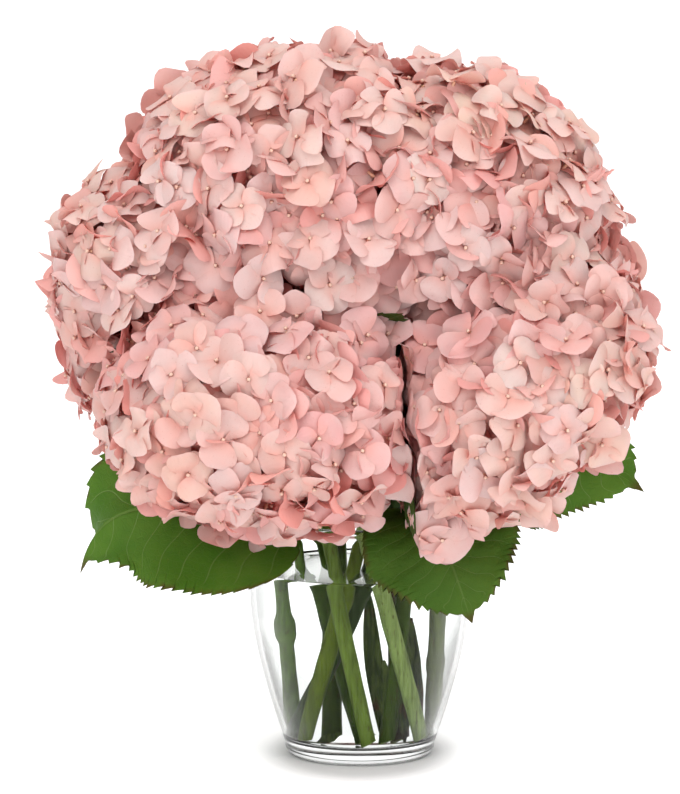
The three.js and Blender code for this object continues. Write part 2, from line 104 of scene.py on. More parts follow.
# Colour of each stem, where its joints are as shares of its straight run, how far they swell, and its own girth
STEM_LOOKS = {
    "front_left": dict(colour=(0.160, 0.245, 0.036), joints=(0.955,), swelling=0.10),
    "front_right": dict(colour=(0.042, 0.075, 0.016), joints=(0.45,), swelling=0.06),
    "top_left": dict(colour=(0.290, 0.400, 0.115), joints=(0.88,), swelling=0.14),
    "top_right": dict(colour=(0.140, 0.205, 0.016), joints=(0.64,), swelling=0.16),
    "left_upper": dict(colour=(0.058, 0.110, 0.008), joints=(0.70,), swelling=0.08, girth=0.70),
    "left_lower": dict(colour=(0.125, 0.235, 0.022), joints=(0.50,), swelling=0.30, girth=0.56, run=0.052),
    "back_right": dict(colour=(0.130, 0.175, 0.036), joints=(0.35, 0.8), swelling=0.08, girth=0.62),
    "back_top": dict(colour=(0.055, 0.100, 0.005), joints=(0.66,), swelling=0.12, girth=0.68),
    "back_left": dict(colour=(0.062, 0.110, 0.006), joints=(0.4,), swelling=0.08, girth=0.64),
    "back_low": dict(colour=(0.060, 0.042, 0.014), joints=(0.25, 0.6), swelling=0.12, girth=0.66),
}

# Dried sheaths that hang on a stem under water
HUSKS = {
    "back_low": (
        dict(start=(9, -3, 52), end=(11.5, -3, 12), width=7, sway=1.5),
        dict(start=(14, 4, 62), end=(17, 5, 10), width=6, sway=-1.0),
    ),
    "back_top": (dict(start=(3, 3, 84), end=(8, -1, 10), width=7, sway=1.2),),
    "back_right": (dict(start=(18, 10, 70), end=(20, 4, 9.5), width=7, sway=0.8),),
    "left_lower": (dict(start=(-7, 2, 16), end=(-17, -8, 9.5), width=4, sway=1.0),),
}

HEAD_FULLNESS = 2.2
NEIGHBOUR_REACH = 12
VALLEY_FILL = 9.5
OUTWARD_LEAN = 0.45
# Where a head stands a little further out (or in) than its plain form: the way, and how far
SWELLS = {
    "top_left": ((-0.6, 0.0, 0.8), -6.0),
    "left_upper": ((-0.75, 0.0, 0.66), -2.0),
    "left_lower": ((-1.0, 0.0, 0.3), -3.0),
    "top_right": ((0.12, 0.0, 0.99), 5.0),
    "front_right": ((0.92, 0.0, 0.4), 4.0),
}
BUNCH_MIDDLE = (0, 10, 205)
# Heads with a dark gap between them, where nothing closes the valley
OPEN_GAPS = [{"front_left", "front_right"}]
GAP_TOP = 216
# Florets set in the creases between heads: the side they are seen from (-1 front, 1 back), then (x, z) for each
CREASE_FLORETS = {
    "front_right": (
        -1,
        ((-3, 244), (20, 231), (31, 236), (42, 239), (53, 241), (64, 241), (75, 243), (86, 255), (93, 262), (83, 262)),
    ),
    "top_left": (-1, ((-5, 249), (-12, 244), (4, 241), (12, 236))),
    "back_low": (1, ((-20, 201), (-8, 203), (4, 205), (16, 204), (26, 202), (10, 196), (-2, 196))),
}
CREASE_LEVEL = -6
# Florets that hang below a head: place, and how warm their colour is
HANGING_FLORETS = {
    "front_right": (
        ((15, -92, 131), 1.0),
        ((27, -97, 126), 0.1),
        ((39, -96, 124), 0.1),
        ((33, -88, 129), 0.2),
        ((49, -92, 130), 0.2),
    )
}
# No floret stands nearer than this to the leaf in the left crease
CREVICE_CLEARANCE = 7.5

# ---------------------------------------------------------------- florets

PETAL_LENGTH = 12.4
PETAL_WIDTH = 17.0
PETAL_THICKNESS = 0.45
PETAL_GRID = 6
# Layers from the outside in: area for each floret, level (or levels), spread of the level, lean, and the range of
# painted deep-rose shade
LAYERS = (
    dict(area=250, levels=(-3.5, -6.5, -9.5, -12.5), spread=0.8, lean=0.33, lift=0.08, painted_shade=(0.0, 0.12), overlap=3),
    dict(area=400, levels=(-12.5,), spread=2.2, lean=0.75, lift=0.35, painted_shade=(0.3, 0.65), overlap=7),
    dict(area=700, levels=(-20,), spread=2.5, lean=0.8, lift=0.35, painted_shade=(0.6, 1.0), overlap=10),
)
# Centre and spread of each draw that shapes a petal
PETAL_DRAWS = dict(
    length=(1, 0.07),
    width=(1, 0.08),
    point=(0.0, 0.05),
    curl=(-0.24, 0.18),
    camber=(-0.08, 0.13),
    pinwheel=(0.13, 0.05),
    wave=(0.9, 0.4),
    turn=(0, 0.09),
)
PETAL_LIFT_SPREAD = 0.18
FLORET_LIFT_SPREAD = 0.12
FLORET_SIZE_SPREAD = 0.1
# Where the four petals of a floret start: how far from its middle, and how high each stands over the first
CLAW_START = 0.6
PETAL_STEPS = (0, 0.35, 0.1, 0.45)
BUTTON_GRID = 4
BUTTON_RADIUS = 1.15
BUTTON_LIFT = 1.1
BUTTON_RISE = 0.7
BUTTON_THICKNESS = 1.6
# A floret's stalk: radius at each step, where it starts under the floret, how far it runs straight down, its end
STALK_RADII = (1.1, 0.8, 0.75, 0.8, 0.9)
STALK_SIDES = 5
STALK_START = 0.6
STALK_DROP = 9
STALK_END_SHARE = 0.6
# How much painted shade a stalk takes where it starts under the floret and where it ends
STALK_SHADES = (0.1, 0.9)

HEAD_SEED = 100
SPIRAL_JITTER = 0.035
# A head's area, from the mean of its radii's products to this power, with an allowance
AREA_POWER = 1.6
AREA_ALLOWANCE = 1.12
LEVEL_SPACING = 24
FIRST_LEVEL_SHARE = 0.6
# Rays from a head's middle are tried at these shares of its own size; slopes are taken over this many millimetres
RAY_SHARES = np.linspace(0.85, 1.7, 90)
SLOPE_STEP = 2.0
CREASE_DEPTHS = np.linspace(180, -60, 481)
CREASE_LEAN = 0.8
# Ranges of tone, warmth and painted deep-rose shade for the florets set in the creases
CREASE_DRAWS = ((0.3, 0.8), (0, 0.4), (0.1, 0.3))
HANGING_FACING = (0.0, -1.0, -0.25)
SWELL_START = 0.55
SWELL_RUN = 0.4
# Florets that lie this deep under the first level take this much more painted deep-rose shade
SINK_DEPTH = 12
SINK_PAINTED_SHADE = 0.30
# A head's looking-out side is paler and warmer than its sides
MIDDLE_POWER = 1.5
MIDDLE_PALING = 0.25
MIDDLE_WARMING = 0.55
SIDE_COOLING = 0.25
TONE_SPREAD = 0.32
WARMTH_SPREAD = 0.2
# No floret starts lower than this over the vase's lip and nearer than this to its widest ring
FLORET_RISE = 6
FLORET_REACH = 4
LIP_CLEARANCE = 1.0
RIM_CLEARANCE = 5

CORE_SHARE = 0.62
CORE_KNOBS = 0.035
CORE_RINGS = 24
CORE_SIDES = 48
# Least room to a plane and the room below which points are drawn back, then how far an open gap's sides wave
CORE_ROOM = (6, 12)
GAP_ROOM = (1.6, 5.5, 1.8)

# How pink and how warm each head is
HEAD_LOOKS = {
    "front_left": (0.60, 0.28),
    "front_right": (0.34, 0.30),
    "top_left": (0.30, 0.25),
    "top_right": (0.24, 0.25),
    "left_upper": (0.15, 0.30),
    "left_lower": (0.90, 0.05),
    "back_right": (0.35, 0.2),
    "back_top": (0.35, 0.2),
    "back_left": (0.40, 0.2),
    "back_low": (0.45, 0.2),
}

# ---------------------------------------------------------------- leaves

LEAF_THICKNESS = 0.6
LEAF_ROWS = 177
LEAF_COLUMNS = 37
LEAF_TEETH = 26
TOOTH_DEPTH = 2.6
VEIN_SLANT = 0.22
PETIOLE_RADIUS = 1.8
PETIOLE_SEAT = 1
PETIOLE_RUN = 9
PETIOLE_LIFT = 3
PETIOLE_END = 0.06

LEAVES = {
    "left": dict(
        stem="front_left",
        height=119,
        midrib=[(-34, -47, 127.5), (-68.4, -58.8, 130.2), (-109.5, -62.2, 132.8), (-136.5, -56, 100.3)],
        width=48,
        halves=[[(0, 0.95, 0.3), (0.37, 0.01, 0.62)], [(0.05, -0.76, -0.63), (0.24, -0.5, -0.8)]],
    ),
    "front_right": dict(
        stem="front_right",
        height=116,
        midrib=[(27, -35, 128.5), (37, -58, 122), (46, -71, 102), (54, -74, 79)],
        width=38,
        halves=[[(-1, 0.1, 0.05), (-1, 0.2, 0.1)], [(1, 0.1, 0.05), (1, 0.2, 0.1)]],
    ),
    "right": dict(
        stem="back_right",
        height=119,
        midrib=[(46, 7, 131), (80, 4, 150), (112, 0, 148), (141, -8, 133)],
        width=36,
        halves=[[(0, 0.1, 1), (0, 0.1, 1)], [(0, -0.15, -1), (0, -0.15, -1)]],
    ),
    "back_left": dict(
        stem="back_left",
        height=113.8,
        midrib=[(-32, 47, 130.5), (-55, 68, 124), (-82, 82, 112), (-108, 92, 92)],
        width=42,
        halves=[[(0.62, 0.76, 0.1), (0.62, 0.76, -0.2)], [(-0.62, -0.76, 0.2), (-0.62, -0.76, -0.2)]],
    ),
    "back_right": dict(
        stem="back_low",
        height=116,
        midrib=[(34, 43, 128), (54, 62, 127), (76, 80, 123), (93, 95, 115)],
        width=38,
        halves=[[(-0.7, 0.7, 0), (-0.7, 0.7, -0.2)], [(0.7, -0.7, 0.1), (0.7, -0.7, -0.2)]],
    ),
}
CAUGHT_LEAVES = {
    "left_crevice": dict(between=("front_left", "left_upper"), start=(-70, -30, 220), end=(-128, -72, 222), width=17),
    "centre_crevice": dict(between=("front_left", "top_left"), start=(-4, -46, 226), end=(21, -92, 240), width=12),
    "low_crevice": dict(between=("front_left", "front_right"), start=(20, -62, 156), end=(20, -110, 128), width=15),
    "top_crevice": dict(between=("top_left", "top_right"), start=(26, -40, 318), end=(26, -78, 326), width=9),
}
# Leaves in the shade of the head over them
SHADED_LEAVES = ("front_right",)
CAUGHT_LEAF_ROWS = 97
CAUGHT_LEAF_TEETH = 11
CAUGHT_LEAF_RUFFLE = 0.3
LEAF_RUFFLE = 1.6

# ---------------------------------------------------------------- floor, light and camera

FLOOR_HALF = 16.0
FLOOR_STEPS = 9
FLOOR_DEPTH = 0.05
FLOOR_RIPPLE = 0.02
WORLD_STRENGTH = 1.03
# The sky's colour by how far to a side it lies
WORLD_STOPS = ((0.55, (1, 1, 1, 1)), (0.95, (0.50, 0.50, 0.51, 1)))
LAMPS = {
    "key": dict(place=(-1.0, -1.9, 1.3), target=(0, 0, 0.2), side=1.0, power=14, colour=(1.0, 0.99, 0.97)),
    "fill": dict(place=(1.3, -1.5, 1.0), target=(0, 0, 0.2), side=1.0, power=9, colour=(1.0, 0.99, 0.98)),
    "back": dict(place=(0.3, 1.3, 1.6), target=(0, 0, 0.25), side=1.2, power=4, colour=(1.0, 1.0, 1.0)),
    "top": dict(place=(0.1, -0.9, 1.7), target=(0, 0, 0.3), side=1.2, power=9, colour=(1.0, 1.0, 0.99)),
}
CAMERA_PLACE = (-0.010, -2.2, 0.480)
CAMERA_TARGET = (-0.010, 0.0, 0.1795)
CAMERA_LENS = 202.7
CAMERA_SENSOR = 36

# ---------------------------------------------------------------- meshes


def unit(vectors):
    """Each vector divided by its own length."""
    return vectors / np.maximum(np.linalg.norm(vectors, axis=-1, keepdims=True), 1e-9)


def make_piece(name, vertices, faces, finishes, face_finish=None, values=None, crease=None):
    """A mesh piece from points in millimetres, lists of faces, its finishes and its named values per point."""
    mesh = bpy.data.meshes.new(name)
    rows = [row for block in faces for row in block.tolist()]
    mesh.from_pydata((vertices * MM).tolist(), [], rows)
    for key, numbers in (values or {}).items():
        layer = mesh.attributes.new(key, "FLOAT", "POINT")
        layer.data.foreach_set("value", np.ascontiguousarray(numbers, np.float32))
    for finish in finishes:
        mesh.materials.append(finish)
    if face_finish is not None:
        mesh.polygons.foreach_set("material_index", face_finish.astype(np.int32))
    mesh.polygons.foreach_set("use_smooth", np.ones(len(rows), bool))
    if crease is not None:
        ends = np.empty(len(mesh.edges) * 2, np.int32)
        mesh.edges.foreach_get("vertices", ends)
        ends = ends.reshape(-1, 2)
        sharp = mesh.attributes.new("sharp_edge", "BOOLEAN", "EDGE")
        sharp.data.foreach_set("value", crease[ends].all(axis=1))
    mesh.update()
    piece = bpy.data.objects.new(name, mesh)
    bpy.context.scene.collection.objects.link(piece)
    return piece


def place_piece(piece, node):
    """Lets a piece stand for its node, whose own part is hidden, and ride with the body."""
    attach(piece, "root")
    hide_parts(node)


class Parcel:
    """Several meshes with the same named values, gathered into one."""

    def __init__(self):
        self.vertices, self.faces, self.finish, self.values, self.crease = [], [], [], [], []
        self.count = 0

    def add(self, vertices, faces, finish, values, crease=None):
        total = len(vertices)
        self.vertices.append(vertices)
        for block in faces:
            self.faces.append(block + self.count)
            self.finish.append(np.full(len(block), finish))
        self.values.append({key: np.broadcast_to(number, total) for key, number in values.items()})
        self.crease.append(np.zeros(total, bool) if crease is None else crease)
        self.count += total

    def piece(self, name, finishes):
        keys = self.values[0].keys()
        values = {key: np.concatenate([part[key] for part in self.values]) for key in keys}
        return make_piece(
            name,
            np.concatenate(self.vertices),
            self.faces,
            finishes,
            np.concatenate(self.finish),
            values,
            np.concatenate(self.crease),
        )


class SheetPlan:
    """Which points and faces make a thin closed sheet from a grid: both sides share the rim's points."""

    def __init__(self, rows, columns):
        index = np.arange(rows * columns).reshape(rows, columns)
        rim = np.ones((rows, columns), bool)
        rim[1:-1, 1:-1] = False
        under = index.copy()
        under[1:-1, 1:-1] = rows * columns + np.arange((rows - 2) * (columns - 2)).reshape(rows - 2, columns - 2)
        self.under_source = index[1:-1, 1:-1].ravel()
        self.source = np.concatenate([index.ravel(), self.under_source])
        self.count = len(self.source)
        self.crease = np.concatenate([rim.ravel(), np.zeros(len(self.under_source), bool)])
        top = np.stack([index[:-1, :-1], index[1:, :-1], index[1:, 1:], index[:-1, 1:]], -1).reshape(-1, 4)
        low = np.stack([under[:-1, :-1], under[:-1, 1:], under[1:, 1:], under[1:, :-1]], -1).reshape(-1, 4)
        self.faces = np.concatenate([top, low])

    def points(self, grid, thickness):
        """Points of the sheets: the grid moved out along its normals by half the thickness on either side."""
        down = np.gradient(grid, axis=-3)
        along = np.gradient(grid, axis=-2)
        lift = unit(np.cross(down, along)) * (thickness / 2)[..., None]
        shape = (*grid.shape[:-3], -1, 3)
        lift[..., 0, :, :] = lift[..., -1, :, :] = lift[..., :, 0, :] = lift[..., :, -1, :] = 0
        upper = (grid + lift).reshape(shape)
        under = (grid - lift).reshape(shape)[..., self.under_source, :]
        return np.concatenate([upper, under], axis=-2)

    def copies(self, number):
        """The faces and the creases of several such sheets, one after the other."""
        step = np.arange(number)[:, None, None] * self.count
        return (self.faces[None] + step).reshape(-1, 4), np.tile(self.crease, number)


PETAL_PLAN = SheetPlan(PETAL_GRID, PETAL_GRID)
BUTTON_PLAN = SheetPlan(BUTTON_GRID, BUTTON_GRID)


def lathe(profile, segments):
    """A profile of (radius, height) turned about Z; it starts and ends on the axis, where one point closes it."""
    angle = np.arange(segments) * 2 * math.pi / segments
    radius, height = profile[1:-1, 0], profile[1:-1, 1]
    rings = np.stack(
        [
            radius[:, None] * np.cos(angle),
            radius[:, None] * np.sin(angle),
            np.repeat(height[:, None], segments, 1),
        ],
        -1,
    )
    count = len(radius)
    ends = np.array([[0, 0, profile[0, 1]], [0, 0, profile[-1, 1]]])
    vertices = np.concatenate([rings.reshape(-1, 3), ends])
    return vertices, ring_faces(count, segments)


def ring_faces(count, sides):
    """Faces that join rings in order, and close the first and the last to the two points that follow them."""
    index = np.arange(count * sides).reshape(count, sides)
    onward = np.roll(index, -1, axis=1)
    quads = np.stack([index[:-1], onward[:-1], onward[1:], index[1:]], -1).reshape(-1, 4)
    first = np.stack([onward[0], index[0], np.full(sides, count * sides)], -1)
    last = np.stack([index[-1], onward[-1], np.full(sides, count * sides + 1)], -1)
    return [quads, first, last]


def tube(path, radii, sides, reference, ridges=0.0):
    """A round section carried along a path: centre + radius (side cos a + other sin a) at each step."""
    run = unit(np.gradient(path, axis=0))
    side = unit(np.cross(run, np.asarray(reference, float)))
    other = np.cross(run, side)
    angle = np.arange(sides) * 2 * math.pi / sides
    swell = 1 + ridges * np.cos(5 * angle)
    ring = side[:, None] * np.cos(angle)[None, :, None] + other[:, None] * np.sin(angle)[None, :, None]
    rings = path[:, None] + ring * (radii[:, None] * swell)[..., None]
    ends = np.stack([path[0], path[-1]])
    return np.concatenate([rings.reshape(-1, 3), ends]), ring_faces(len(path), sides)


# ---------------------------------------------------------------- finishes


def fill(tree, socket, value):
    """Gives a socket its value, or a link where the value is a wire or a socket."""
    if isinstance(value, Wire):
        value = value.socket
    if isinstance(value, bpy.types.NodeSocket):
        tree.links.new(value, socket)
    elif isinstance(value, tuple) and socket.type == "RGBA" and len(value) == 3:
        socket.default_value = (*value, 1.0)
    else:
        socket.default_value = value


def add_node(tree, kind, settings=None, sockets=None):
    """A node of a type, with its settings (a ramp's stops too) made first and then its sockets filled."""
    made = tree.nodes.new(kind)
    for key, setting in (settings or {}).items():
        if key == "stops":
            for element, (position, colour) in zip(made.color_ramp.elements, setting):
                element.position, element.color = position, colour
        else:
            setattr(made, key, setting)
    for key, value in (sockets or {}).items():
        fill(tree, made.inputs[key], value)
    return made


class Wire:
    """A shader value. Sums, products and powers of wires and numbers add the Math nodes that work them out."""

    def __init__(self, finish, socket):
        self.finish, self.socket = finish, socket

    def _with(self, operation, first, second=0.0):
        node = self.finish.node("ShaderNodeMath", {"operation": operation}, {0: first, 1: second})
        return Wire(self.finish, node.outputs[0])

    def __add__(self, other):
        return self._with("ADD", self, other)

    def __radd__(self, other):
        return self._with("ADD", other, self)

    def __sub__(self, other):
        return self._with("SUBTRACT", self, other)

    def __rsub__(self, other):
        return self._with("SUBTRACT", other, self)

    def __mul__(self, other):
        return self._with("MULTIPLY", self, other)

    def __rmul__(self, other):
        return self._with("MULTIPLY", other, self)

    def __truediv__(self, other):
        return self._with("DIVIDE", self, other)

    def __pow__(self, other):
        return self._with("POWER", self, other)

    def wave(self):
        return self._with("SINE", self)

    def size(self):
        return self._with("ABSOLUTE", self)

    def greater(self, other):
        return self._with("MAXIMUM", self, other)

    def part(self):
        return self._with("FRACT", self)

    def between(self, low, high, start=0.0, end=1.0):
        """start where the value is low, end where it is high, and a soft step between them."""
        settings = {"interpolation_type": "SMOOTHSTEP"}
        sockets = {"Value": self, "From Min": low, "From Max": high, "To Min": start, "To Max": end}
        node = self.finish.node("ShaderNodeMapRange", settings, sockets)
        return Wire(self.finish, node.outputs["Result"])


class Finish:
    """A material as it is put together: a Principled shader and the nodes that feed it."""

    def __init__(self, name, sockets=None):
        self.material = bpy.data.materials.new(name)
        self.material.use_nodes = True
        self.tree = self.material.node_tree
        self.tree.nodes.clear()
        self.output = self.node("ShaderNodeOutputMaterial")
        self.body = self.node("ShaderNodeBsdfPrincipled", {}, sockets)
        self.show(self.body.outputs[0])

    def node(self, kind, settings=None, sockets=None):
        return add_node(self.tree, kind, settings, sockets)

    def show(self, shader):
        fill(self.tree, self.output.inputs["Surface"], shader)

    def value(self, name):
        """One of the piece's own named values."""
        node = self.node("ShaderNodeAttribute", {"attribute_name": name})
        return Wire(self, node.outputs["Fac"])

    def place(self):
        return self.node("ShaderNodeTexCoord").outputs["Object"]

    def stretched(self, x, y, z):
        node = self.node("ShaderNodeMapping", {}, {"Vector": self.place(), "Scale": (x, y, z)})
        return node.outputs["Vector"]

    def noise(self, scale, detail=2.0, roughness=0.5, vector=None):
        """Soft noise from 0 to 1, scale blotches to a metre."""
        sockets = {"Vector": vector or self.place(), "Scale": scale, "Detail": detail, "Roughness": roughness}
        return Wire(self, self.node("ShaderNodeTexNoise", {}, sockets).outputs["Fac"])

    def cells(self, scale, feature="F1", vector=None):
        settings = {"feature": feature}
        sockets = {"Vector": vector or self.place(), "Scale": scale}
        return Wire(self, self.node("ShaderNodeTexVoronoi", settings, sockets).outputs["Distance"])

    def mix(self, share, first, second, way="MIX"):
        """A colour: first where share is 0, second where it is 1."""
        settings = {"data_type": "RGBA", "blend_type": way, "clamp_factor": True}
        node = self.node("ShaderNodeMix", settings, {0: share, 6: first, 7: second})
        return node.outputs[2]

    def bump(self, height, strength, distance, before=None):
        sockets = {"Height": height, "Strength": strength, "Distance": distance}
        if before is not None:
            sockets["Normal"] = before
        return self.node("ShaderNodeBump", {}, sockets).outputs[0]

    def set(self, **sockets):
        for key, value in sockets.items():
            fill(self.tree, self.body.inputs[key.replace("_", " ")], value)

    def let_light_through(self, share, colour):
        """Thin tissue: some of the light that falls on its back comes out in front."""
        through = self.node("ShaderNodeBsdfTranslucent", {}, {"Color": colour})
        both = self.node("ShaderNodeMixShader", {}, {0: share, 1: self.body.outputs[0], 2: through.outputs[0]})
        self.show(both.outputs[0])

    def let_lamps_through(self, colour):
        """Clear matter: lamps reach what stands in it, as they would without the slow work of tracing them."""
        path = self.node("ShaderNodeLightPath")
        clear = self.node("ShaderNodeBsdfTransparent", {}, {"Color": colour})
        sockets = {0: path.outputs["Is Shadow Ray"], 1: self.body.outputs[0], 2: clear.outputs[0]}
        self.show(self.node("ShaderNodeMixShader", {}, sockets).outputs[0])


def petal_finish():
    """Pale pink sepals: peach at the claw, faint veins that fan out, and a painted deep-rose shade where they lie
    deep.
    """
    f = Finish("petal")
    tone, warmth, depth = f.value("tone"), f.value("warmth"), f.value("depth")
    reach, across = f.value("reach"), f.value("across")
    colour = f.mix(tone, (0.765, 0.695, 0.675), (0.775, 0.485, 0.475))
    colour = f.mix(warmth * 0.75, colour, (0.80, 0.69, 0.535))
    claw = (1 - reach.between(0.0, 0.62)) * (0.42 + warmth * 0.35)
    colour = f.mix(claw, colour, (0.82, 0.44, 0.36))
    rim = reach.between(0.72, 1.0) * (0.45 - tone * 0.2)
    colour = f.mix(rim, colour, (0.765, 0.71, 0.71))
    blotch = f.noise(70, 3)
    colour = f.mix(blotch.between(0.42, 0.72) * 0.45, colour, (0.77, 0.715, 0.685))
    veins = (across * 26 + f.noise(220, 2) * 6).wave()
    colour = f.mix(veins.between(0.6, 1.0) * 0.05, colour, (0.76, 0.40, 0.40))
    # painted shade: florets that lie deep in the head turn deep rose, for the saturated shade in the gaps between them
    colour = f.mix(depth * 0.85, colour, (0.85, 0.31, 0.27))
    specks = f.noise(1500, 0).between(0.77, 0.8)
    colour = f.mix(specks * 0.35, colour, (0.45, 0.2, 0.1))
    f.set(Base_Color=colour, Roughness=0.55 + f.noise(300) * 0.2, Specular_IOR_Level=0.3)
    f.set(Normal=f.bump(veins * 0.15 + f.noise(260, 3) * 1.2, 0.3, 0.0004))
    f.let_light_through(0.42, (0.95, 0.50, 0.46))
    return f.material


def button_finish():
    """The closed bud in the middle of a floret: beige, with a darker ring where it meets the sepals."""
    f = Finish("floret_button")
    reach = f.value("reach")
    colour = f.mix(reach.between(0.45, 0.8), (0.66, 0.42, 0.33), (0.44, 0.19, 0.14))
    colour = f.mix(f.noise(900).between(0.45, 0.6) * 0.4, colour, (0.70, 0.50, 0.40))
    f.set(Base_Color=colour, Roughness=0.45 + f.noise(700) * 0.2)
    f.set(Normal=f.bump(f.noise(1400), 0.4, 0.0004))
    return f.material


def stalk_finish():
    """The thin stalks that carry the florets, and the mass that they grow from: salmon, turning to a painted dark-red
    shade with dark blotches towards the head's middle.
    """
    f = Finish("floret_stalk")
    depth = f.value("depth")
    colour = f.mix(f.noise(160), (0.80, 0.40, 0.30), (0.72, 0.50, 0.30))
    # painted shade: deeper in the head the stalks turn dark red and take dark blotches
    colour = f.mix(depth.between(0.3, 1.0), colour, (0.56, 0.13, 0.10))
    colour = f.mix(f.noise(420, 3).between(0.5, 0.75) * depth, colour, (0.20, 0.035, 0.025))
    f.set(Base_Color=colour, Roughness=0.6 + f.noise(300) * 0.2)
    f.set(Normal=f.bump(f.noise(260, 4), 0.8, 0.002))
    return f.material


def leaf_finish(name, dark, brown):
    """A leaf: thin pale veins that leave the midrib in pairs, a faint net between them, brown teeth and tip, and a
    painted shade over the whole blade by its dark share.
    """
    f = Finish(name)
    course, along, across = f.value("vein_course"), f.value("along"), f.value("across").size()
    gap = ((course * 9).part() - 0.5).size()
    side_vein = gap.between(0.035, 0.008) * (1 - across.between(0.75, 0.95))
    midrib = across.between(0.028, 0.01)
    net = f.cells(300, "DISTANCE_TO_EDGE").between(0.06, 0.01)
    patches = f.noise(45, 4)
    colour = f.mix(patches.between(0.3, 0.7), (0.053, 0.137, 0.010), (0.080, 0.171, 0.017))
    colour = f.mix(net * 0.12, colour, (0.12, 0.22, 0.05))
    colour = f.mix(side_vein * 0.42, colour, (0.22, 0.33, 0.10))
    colour = f.mix(midrib * 0.3, colour, (0.22, 0.32, 0.09))
    edge = across.between(0.93, 1.0) * f.noise(120, 2).between(0.35, 0.6)
    browned = edge * 0.85 + along.between(0.90, 0.97) * 0.8 + f.noise(30, 4).between(0.66, 0.74) * brown
    colour = f.mix(browned, colour, (0.085, 0.045, 0.014))
    # painted shade: the whole blade darkened by the given share, for leaves in shade under a head or caught in the
    # creases between heads
    colour = f.mix(dark, colour, (0.022, 0.024, 0.006))
    f.set(Base_Color=colour, Roughness=0.5 + patches * 0.2, Specular_IOR_Level=0.14)
    relief = net * -0.4 - side_vein * 1.2 - midrib * 1.2 + f.noise(260, 3) * 1.4
    f.set(Normal=f.bump(relief, 0.5, 0.0009))
    f.let_light_through(0.12, (0.20, 0.42, 0.03))
    return f.material


def stem_finish(name, tint):
    """A cut stem: long streaks and small brown pores on its own green, duller at the joints, pale at the cut."""
    f = Finish(name)
    deep = tuple(channel * 0.62 for channel in tint)
    pale = tuple(channel * 1.3 + 0.01 for channel in tint)
    streaks = f.noise(1.0, 4, 0.6, f.stretched(520, 520, 26))
    colour = f.mix(streaks.between(0.3, 0.7), deep, pale)
    bands = f.noise(1.0, 2, 0.5, f.stretched(30, 30, 170))
    colour = f.mix(bands.between(0.5, 0.7) * 0.3, colour, deep)
    pores = f.noise(1.0, 1, 0.5, f.stretched(900, 900, 260)).between(0.66, 0.7)
    colour = f.mix(pores * 0.6, colour, (0.10, 0.065, 0.022))
    colour = f.mix(f.value("joint"), colour, (0.10, 0.11, 0.035))
    colour = f.mix(f.value("cut"), colour, (0.42, 0.48, 0.22))
    f.set(Base_Color=colour, Roughness=0.42 + streaks * 0.25, Specular_IOR_Level=0.08)
    f.set(Normal=f.bump(streaks + pores * -0.6, 0.5, 0.0008))
    return f.material


def glass_finish():
    """Clear pressed glass: greyer where it is seen along its wall, partly for the thick glass and partly a painted
    dark reflection at its edges, with a painted dark line of shade along the bottom of its foot, faint waves and a few
    wiping marks.
    """
    sockets = {"Transmission Weight": 1.0, "IOR": 1.5, "Specular Tint": (0.08, 0.08, 0.08)}
    f = Finish("vase_glass", sockets)
    facing = Wire(f, f.node("ShaderNodeLayerWeight", {}, {"Blend": 0.5}).outputs["Facing"])
    bands = f.noise(1.0, 1, 0.5, f.stretched(90, 90, 1.5))
    # painted reflection: grey where the wall is seen edge-on, partly for the thick glass and partly for the dark
    # surroundings seen in its edges
    grey = facing.between(0.32, 0.92) * (0.6 + bands.between(0.4, 0.6) * 0.4)
    # painted shade: a dark line along the bottom of the foot, where it stands on the floor
    height = Wire(f, f.node("ShaderNodeSeparateXYZ", {}, {"Vector": f.place()}).outputs["Z"])
    grey = grey.greater(height.between(0.0034, 0.0008) * 0.9)
    f.set(Base_Color=f.mix(grey, (0.985, 0.995, 0.99), (0.19, 0.195, 0.195)))
    f.set(Roughness=f.noise(26, 4).between(0.62, 0.85) * 0.03)
    f.set(Normal=f.bump(f.noise(1.0, 1, 0.5, f.stretched(16, 16, 7)), 0.25, 0.0012))
    f.let_lamps_through((0.58, 0.59, 0.59))
    return f.material


def water_finish():
    """Still water, with the faintest ripple on its top."""
    tint = (0.985, 0.995, 0.985)
    sockets = {"Transmission Weight": 1.0, "IOR": 1.33, "Base Color": tint, "Specular Tint": (0.08, 0.08, 0.08)}
    f = Finish("vase_water", sockets)
    f.set(Roughness=f.noise(40, 2).between(0.7, 0.9) * 0.01)
    f.set(Normal=f.bump(f.noise(60, 2), 0.06, 0.001))
    f.let_lamps_through((0.93, 0.95, 0.93))
    return f.material


def floor_finish():
    """A white studio floor that glows so that it stays white under even light, a little more near the bunch to lift
    its shade; the glow fades out around the vase's foot, so the soft grey shadow there is partly painted.
    """
    sockets = {"Emission Strength": 1.0, "Specular IOR Level": 0.1}
    f = Finish("floor_white", sockets)
    f.set(Base_Color=f.mix(f.noise(3, 2), (0.79, 0.79, 0.79), (0.81, 0.81, 0.81)), Roughness=0.7)
    length = f.node("ShaderNodeVectorMath", {"operation": "LENGTH"}, {0: f.stretched(1, 0.68, 1)})
    away = Wire(f, length.outputs["Value"])
    # painted light: the floor's own glow, stronger near the bunch to lift the shade it casts
    glow = f.mix(away.between(0.3, 2.5), (0.50, 0.50, 0.50), (0.40, 0.40, 0.40))
    # painted shadow: the glow fades out in an oval around the vase's foot, longer front to back, so that its shade
    # shows there
    f.set(Emission_Color=f.mix(away.between(0.034, 0.055), (0.0, 0.0, 0.0), glow))
    return f.material


# ---------------------------------------------------------------- the vase


def vase_radius(height):
    """Outer radius of the vase: it tapers to the foot below its widest ring and draws in a little above it."""
    below = VASE_TAPER * np.maximum(VASE_BELLY_HEIGHT - height, 0) ** VASE_TAPER_POWER
    return VASE_BELLY_RADIUS - below - VASE_NECKING * np.maximum(height - VASE_BELLY_HEIGHT, 0) ** 2


